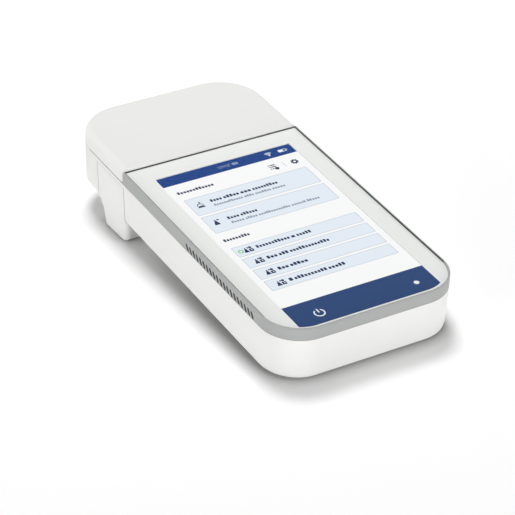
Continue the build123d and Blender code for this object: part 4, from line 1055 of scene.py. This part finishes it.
class CYTOMETER_OT_rows(Operator):
    """Sets out the two cards and the list of rows on the page"""

    bl_idname = "cytometer.rows"
    bl_label = "Cards and rows"

    def execute(self, context):
        sizes = context.scene.cytometer_sizes
        colours = context.scene.cytometer_colours
        fill = lit_pixels("pixels_lit_card", tuple(colours.card))
        line = lit_pixels("pixels_lit_card_edge", tuple(colours.card_edge))
        ink = lit_pixels("pixels_lit_mark", tuple(colours.ink))
        title = lit_pixels("pixels_lit_title", linear("#2E3B5E"))
        faint = lit_pixels("pixels_lit_faint", tuple(colours.faint_ink))
        cards = [(sizes.card_rear - i * sizes.card_pitch, sizes.card_height) for i in range(2)]
        rows = [(sizes.row_rear - i * sizes.row_pitch, sizes.row_height) for i in range(sizes.row_count)]
        self.boxes(sizes, cards + rows, fill, line)
        titles, seconds = [], []
        card_titles = ([7.6, 10.6, 7.0, 17.4], [7.6, 11.2])
        card_seconds = ([19.5, 6.4, 10.8, 8.8], [8.4, 7.8, 21.6, 9.6, 8.6])
        for (rear, _), first, second in zip(cards, card_titles, card_seconds):
            titles += words(TEXT_LEFT, rear - 7.6 * MM, 2.1 * MM, [w * MM for w in first], 1.3 * MM)
            seconds += words(TEXT_LEFT, rear - 12.5 * MM, 1.7 * MM, [w * MM for w in second], 1.2 * MM)
        row_titles = ([22.4, 2.4, 9.6], [6.6, 6.2, 26.6], [6.8, 11.6], [2.2, 21.6, 11.0])
        for (rear, _), first in zip(rows, row_titles):
            titles += words(TEXT_LEFT, rear - 5.4 * MM, 2.2 * MM, [w * MM for w in first], 1.3 * MM)
        on_page("page_title_bars", titles, "ink", title)
        on_page("page_second_bars", seconds, "ink", faint)
        marks = self.stand_mark(-35.9 * MM, cards[0][0] - 8.4 * MM, 1.0)
        marks += self.flask_mark(-36.4 * MM, cards[1][0] - 8.0 * MM, 1.0)
        for rear, _ in rows:
            marks += self.flask_mark(-35.4 * MM, rear - 5.4 * MM, 0.85)
            marks += self.tile_mark(-32.6 * MM, rear - 5.4 * MM, 0.85)
        on_page("page_row_marks", marks, "ink", ink)
        x, y = -39.1 * MM, rows[0][0] - 5.4 * MM
        on_page(
            "page_ready_ring", [circle(x, y, 1.75 * MM), circle(x, y, 1.05 * MM)], "ink",
            lit_pixels("pixels_lit_green", tuple(colours.ready)),
        )
        return {"FINISHED"}

    def boxes(self, sizes, spans, fill, line):
        """Pale boxes with a thin line round each."""
        stroke, half = 0.32 * MM, sizes.card_half
        whole = [bar(-half, half, rear - height, rear, 0.6 * MM) for rear, height in spans]
        inset = [
            bar(-half + stroke, half - stroke, rear - height + stroke, rear - stroke, 0.4 * MM)
            for rear, height in spans
        ]
        on_page("page_box_fill", whole, "box", fill)
        on_page("page_box_lines", whole + inset, "line", line)

    def flask_mark(self, x, y, scale):
        """A small conical flask, a trapezium under a neck."""
        s = scale * MM
        cone = [
            (x - 2.4 * s, y - 2.9 * s), (x + 1.4 * s, y - 2.9 * s), (x + 0.3 * s, y + 1.2 * s),
            (x - 1.0 * s, y + 1.2 * s),
        ]
        neck = bar(x - 0.9 * s, x + 0.2 * s, y + 1.4 * s, y + 2.4 * s, 0.2 * s)
        drop = circle(x + 1.7 * s, y + 2.0 * s, 0.7 * s, 16)
        return [cone, neck, drop]

    def stand_mark(self, x, y, scale):
        """A small round flask on a foot: a filled base, an arch over it and a neck."""
        s = scale * MM
        foot = [
            (x - 2.8 * s, y - 2.9 * s), (x + 2.2 * s, y - 2.9 * s), (x + 1.4 * s, y - 1.1 * s),
            (x - 2.0 * s, y - 1.1 * s),
        ]
        arch = band_arc(x - 0.3 * s, y - 0.7 * s, 2.2 * s, 1.6 * s, 0, 180, 16)
        neck = bar(x - 0.2 * s, x + 0.8 * s, y + 1.7 * s, y + 3.0 * s, 0.2 * s)
        return [foot, arch, neck]

    def tile_mark(self, x, y, scale):
        """A small tile with a round spot over it."""
        s = scale * MM
        return [
            bar(x - 1.5 * s, x + 1.7 * s, y - 2.9 * s, y + 0.3 * s, 0.3 * s),
            circle(x + 0.3 * s, y - 1.2 * s, 0.55 * s, 16),
            circle(x + 0.3 * s, y + 1.9 * s, 1.2 * s, 20),
        ]


class CYTOMETER_OT_metals(Operator):
    """Finishes the sheet metal, the pins, the sockets and the brass"""

    bl_idname = "cytometer.metals"
    bl_label = "Metal parts"

    def execute(self, context):
        finish_nodes(
            bare_metal("steel_rolled_zinc_plated", linear("#B9BCBE"), 0.34),
            "backlight_unit", "display_chassis", "battery_strap",
        )
        finish_nodes(
            bare_metal("steel_drawn_tinned", linear("#CFD0CE"), 0.25, stretch=(12, 1, 12)),
            "processor_shield", "light_detector",
        )
        finish_nodes(
            bare_metal("steel_stainless_drawn", linear("#C4C6C8"), 0.22, stretch=(40, 1, 1)),
            "usb_a_socket", "usb_c_socket", "hinge_pin",
        )
        nickel = bare_metal("steel_turned_nickel_plated", linear("#B4B3AF"), 0.36, stretch=(1, 1, 10))
        finish_nodes(nickel, "inner_screws")
        finish_nodes(
            bare_metal("magnet_ground_nickel_plated", linear("#8C8D8F"), 0.55, stretch=(8, 1, 1)),
            "tray_magnets", "lid_magnets",
        )
        put_turned("tray_screws_lobed", "tray_screws", screw_profile(True), nickel, "case")
        put_turned("liner_screws_lobed", "liner_screws", screw_profile(False), nickel, "lid")
        put_turned("case_screws_lobed", "case_screws", screw_profile(False), nickel, "case")
        finish_nodes(
            bare_metal("brass_turned", linear("#C9A25A"), 0.26, stretch=(10, 1, 10)),
            "laser_module", "suction_port",
        )
        gilt = bare_metal("brass_gold_plated", linear("#D9B25C"), 0.16)
        put_turned("contact_plungers_round", "contact_plungers", plunger_profile, gilt, "contacts")
        self.tongues(gilt)
        return {"FINISHED"}

    def tongues(self, gilt):
        """Black sleeves with gilt pads over the tongues of both sockets."""
        nylon = moulded_abs("nylon_glass_filled_black", linear("#1A1B1D"), 0.2 * MM, 0.01 * MM, 0.5, 0.1 * MM)
        sockets = (
            ("usb_a_socket", 0.70, 5.39, 4, 2.4, 0.9),
            ("usb_c_socket", 0.50, 3.14, 8, 0.68, 0.34),
        )
        for node, share, half, count, pitch, width in sockets:
            low, high = node_box(node)
            x, z = (low.x + high.x) / 2, low.z + share * (high.z - low.z)
            front = high.y - 1.0 * MM
            rear = front - 6.0 * MM
            cut_sheet(
                f"{node}_sleeve", [bar(x - half * MM, x + half * MM, rear, front + 0.05 * MM, 0.3 * MM)],
                z - 0.38 * MM, z + 0.38 * MM, nylon,
            )
            pads = []
            for i in range(count):
                at = x + (i - (count - 1) / 2) * pitch * MM
                left, right = at - width / 2 * MM, at + width / 2 * MM
                pads.append(bar(left, right, rear, front - 0.4 * MM, 0.1 * MM, steps=3))
            cut_sheet(f"{node}_lower_pads", pads, z - 0.41 * MM, z - 0.37 * MM, gilt)
            cut_sheet(f"{node}_upper_pads", pads, z + 0.37 * MM, z + 0.41 * MM, gilt)


class CYTOMETER_OT_electronics(Operator):
    """Finishes the boards, chips, ribbon, aerial, battery and blower"""

    bl_idname = "cytometer.electronics"
    bl_label = "Electronics and cooling"

    def execute(self, context):
        finish_nodes(
            solder_mask("epoxy_board_green_mask", linear("#0E4F2B"), linear("#2C7A46")),
            "mainboard", "io_board", "detector_board",
        )
        finish_nodes(
            moulded_abs("epoxy_moulded_black", linear("#1B1C1E"), 0.2 * MM, 0.01 * MM, 0.5, 0.1 * MM),
            "board_chips",
        )
        finish_nodes(glossy_film("polyimide_film_amber", linear("#B5762B")), "wifi_antenna", "display_flex")
        finish_nodes(glossy_film("pvc_shrink_film_blue", linear("#2F568F")), "battery_pack")
        finish_nodes(
            moulded_abs("nylon_moulded_black", linear("#222427"), 0.3 * MM, 0.015 * MM, 0.5, 0.3 * MM),
            "blower_housing", "blower_impeller", "contact_block", "vacuum_pump",
        )
        return {"FINISHED"}


class CYTOMETER_OT_bay(Operator):
    """Finishes the measuring bay, the lid's inside and the optics under it"""

    bl_idname = "cytometer.bay"
    bl_label = "Measuring bay and optics"

    def execute(self, context):
        finish_nodes(
            moulded_abs("abs_moulded_charcoal", linear("#35373A"), 0.4 * MM, 0.02 * MM, 0.5, 0.3 * MM),
            "bay_tray", "lid_liner",
        )
        finish_nodes(closed_cell_foam("polyurethane_foam_black", linear("#1A1B1D")), "tray_seal")
        finish_nodes(soft_elastomer("silicone_moulded_grey", linear("#8C9094"), 0.6 * MM), "press_pad")
        finish_nodes(soft_elastomer("rubber_moulded_black", linear("#1D1E20")), "stand_pads", "front_feet")
        ring = soft_elastomer("silicone_moulded_ring_black", linear("#2A2B2D"), 0.3 * MM, 0.004 * MM, 0.45)
        put_turned("port_ring_round", "port_ring", ring_profile, ring, "case")
        finish_nodes(
            soft_elastomer("silicone_extruded_clear", linear("#C9CFD1"), 2 * MM, 0.01 * MM, 0.35),
            "suction_hose",
        )
        finish_nodes(
            optical_glass("glass_optical_coated", (0.93, 0.95, 1.0)), "measuring_window", "objective_lens"
        )
        finish_nodes(optical_glass("glass_filter_red", linear("#D2552B"), 1.3), "emission_filter")
        finish_nodes(bare_metal("glass_silvered_mirror", linear("#E8EAEC"), 0.1, 2 * MM), "beam_mirror")
        finish_nodes(
            bare_metal("aluminium_milled_black_anodised", linear("#2B2C2F"), 0.42, stretch=(12, 1, 1)),
            "optical_bench",
        )
        return {"FINISHED"}


class CYTOMETER_PT_panel(Panel):
    """Lists the sizes, the colours and the steps"""

    bl_idname = "CYTOMETER_PT_panel"
    bl_label = "Bench cytometer"
    bl_space_type = "VIEW_3D"
    bl_region_type = "UI"
    bl_category = "Cytometer"

    def draw(self, context):
        scene = context.scene
        for heading, group in (
            ("Sizes", scene.cytometer_sizes), ("Colours", scene.cytometer_colours),
            ("Studio", scene.cytometer_studio),
        ):
            box = self.layout.box()
            box.label(text=heading)
            for name in group.__annotations__:
                box.prop(group, name)
        for step in STEPS:
            self.layout.operator(step.bl_idname)


STEPS = (
    CYTOMETER_OT_stage, CYTOMETER_OT_housing, CYTOMETER_OT_frame, CYTOMETER_OT_glass,
    CYTOMETER_OT_display, CYTOMETER_OT_rows, CYTOMETER_OT_metals, CYTOMETER_OT_electronics,
    CYTOMETER_OT_bay,
)
GROUPS = {
    "cytometer_sizes": CytometerSizes,
    "cytometer_colours": CytometerColours,
    "cytometer_studio": CytometerStudio,
}


def register():
    """Registers the groups, steps and panel."""
    for name, group in GROUPS.items():
        bpy.utils.register_class(group)
        setattr(bpy.types.Scene, name, PointerProperty(type=group))
    for step in STEPS:
        bpy.utils.register_class(step)
    bpy.utils.register_class(CYTOMETER_PT_panel)


def unregister():
    """Takes them out again."""
    bpy.utils.unregister_class(CYTOMETER_PT_panel)
    for step in reversed(STEPS):
        bpy.utils.unregister_class(step)
    for name, group in GROUPS.items():
        delattr(bpy.types.Scene, name)
        bpy.utils.unregister_class(group)


def main():
    """Runs the steps in order."""
    register()
    bpy.context.scene.view_settings.view_transform = "Standard"
    for step in STEPS:
        group, name = step.bl_idname.split(".")
        getattr(getattr(bpy.ops, group), name)()


if __name__ == "__main__":
    main()
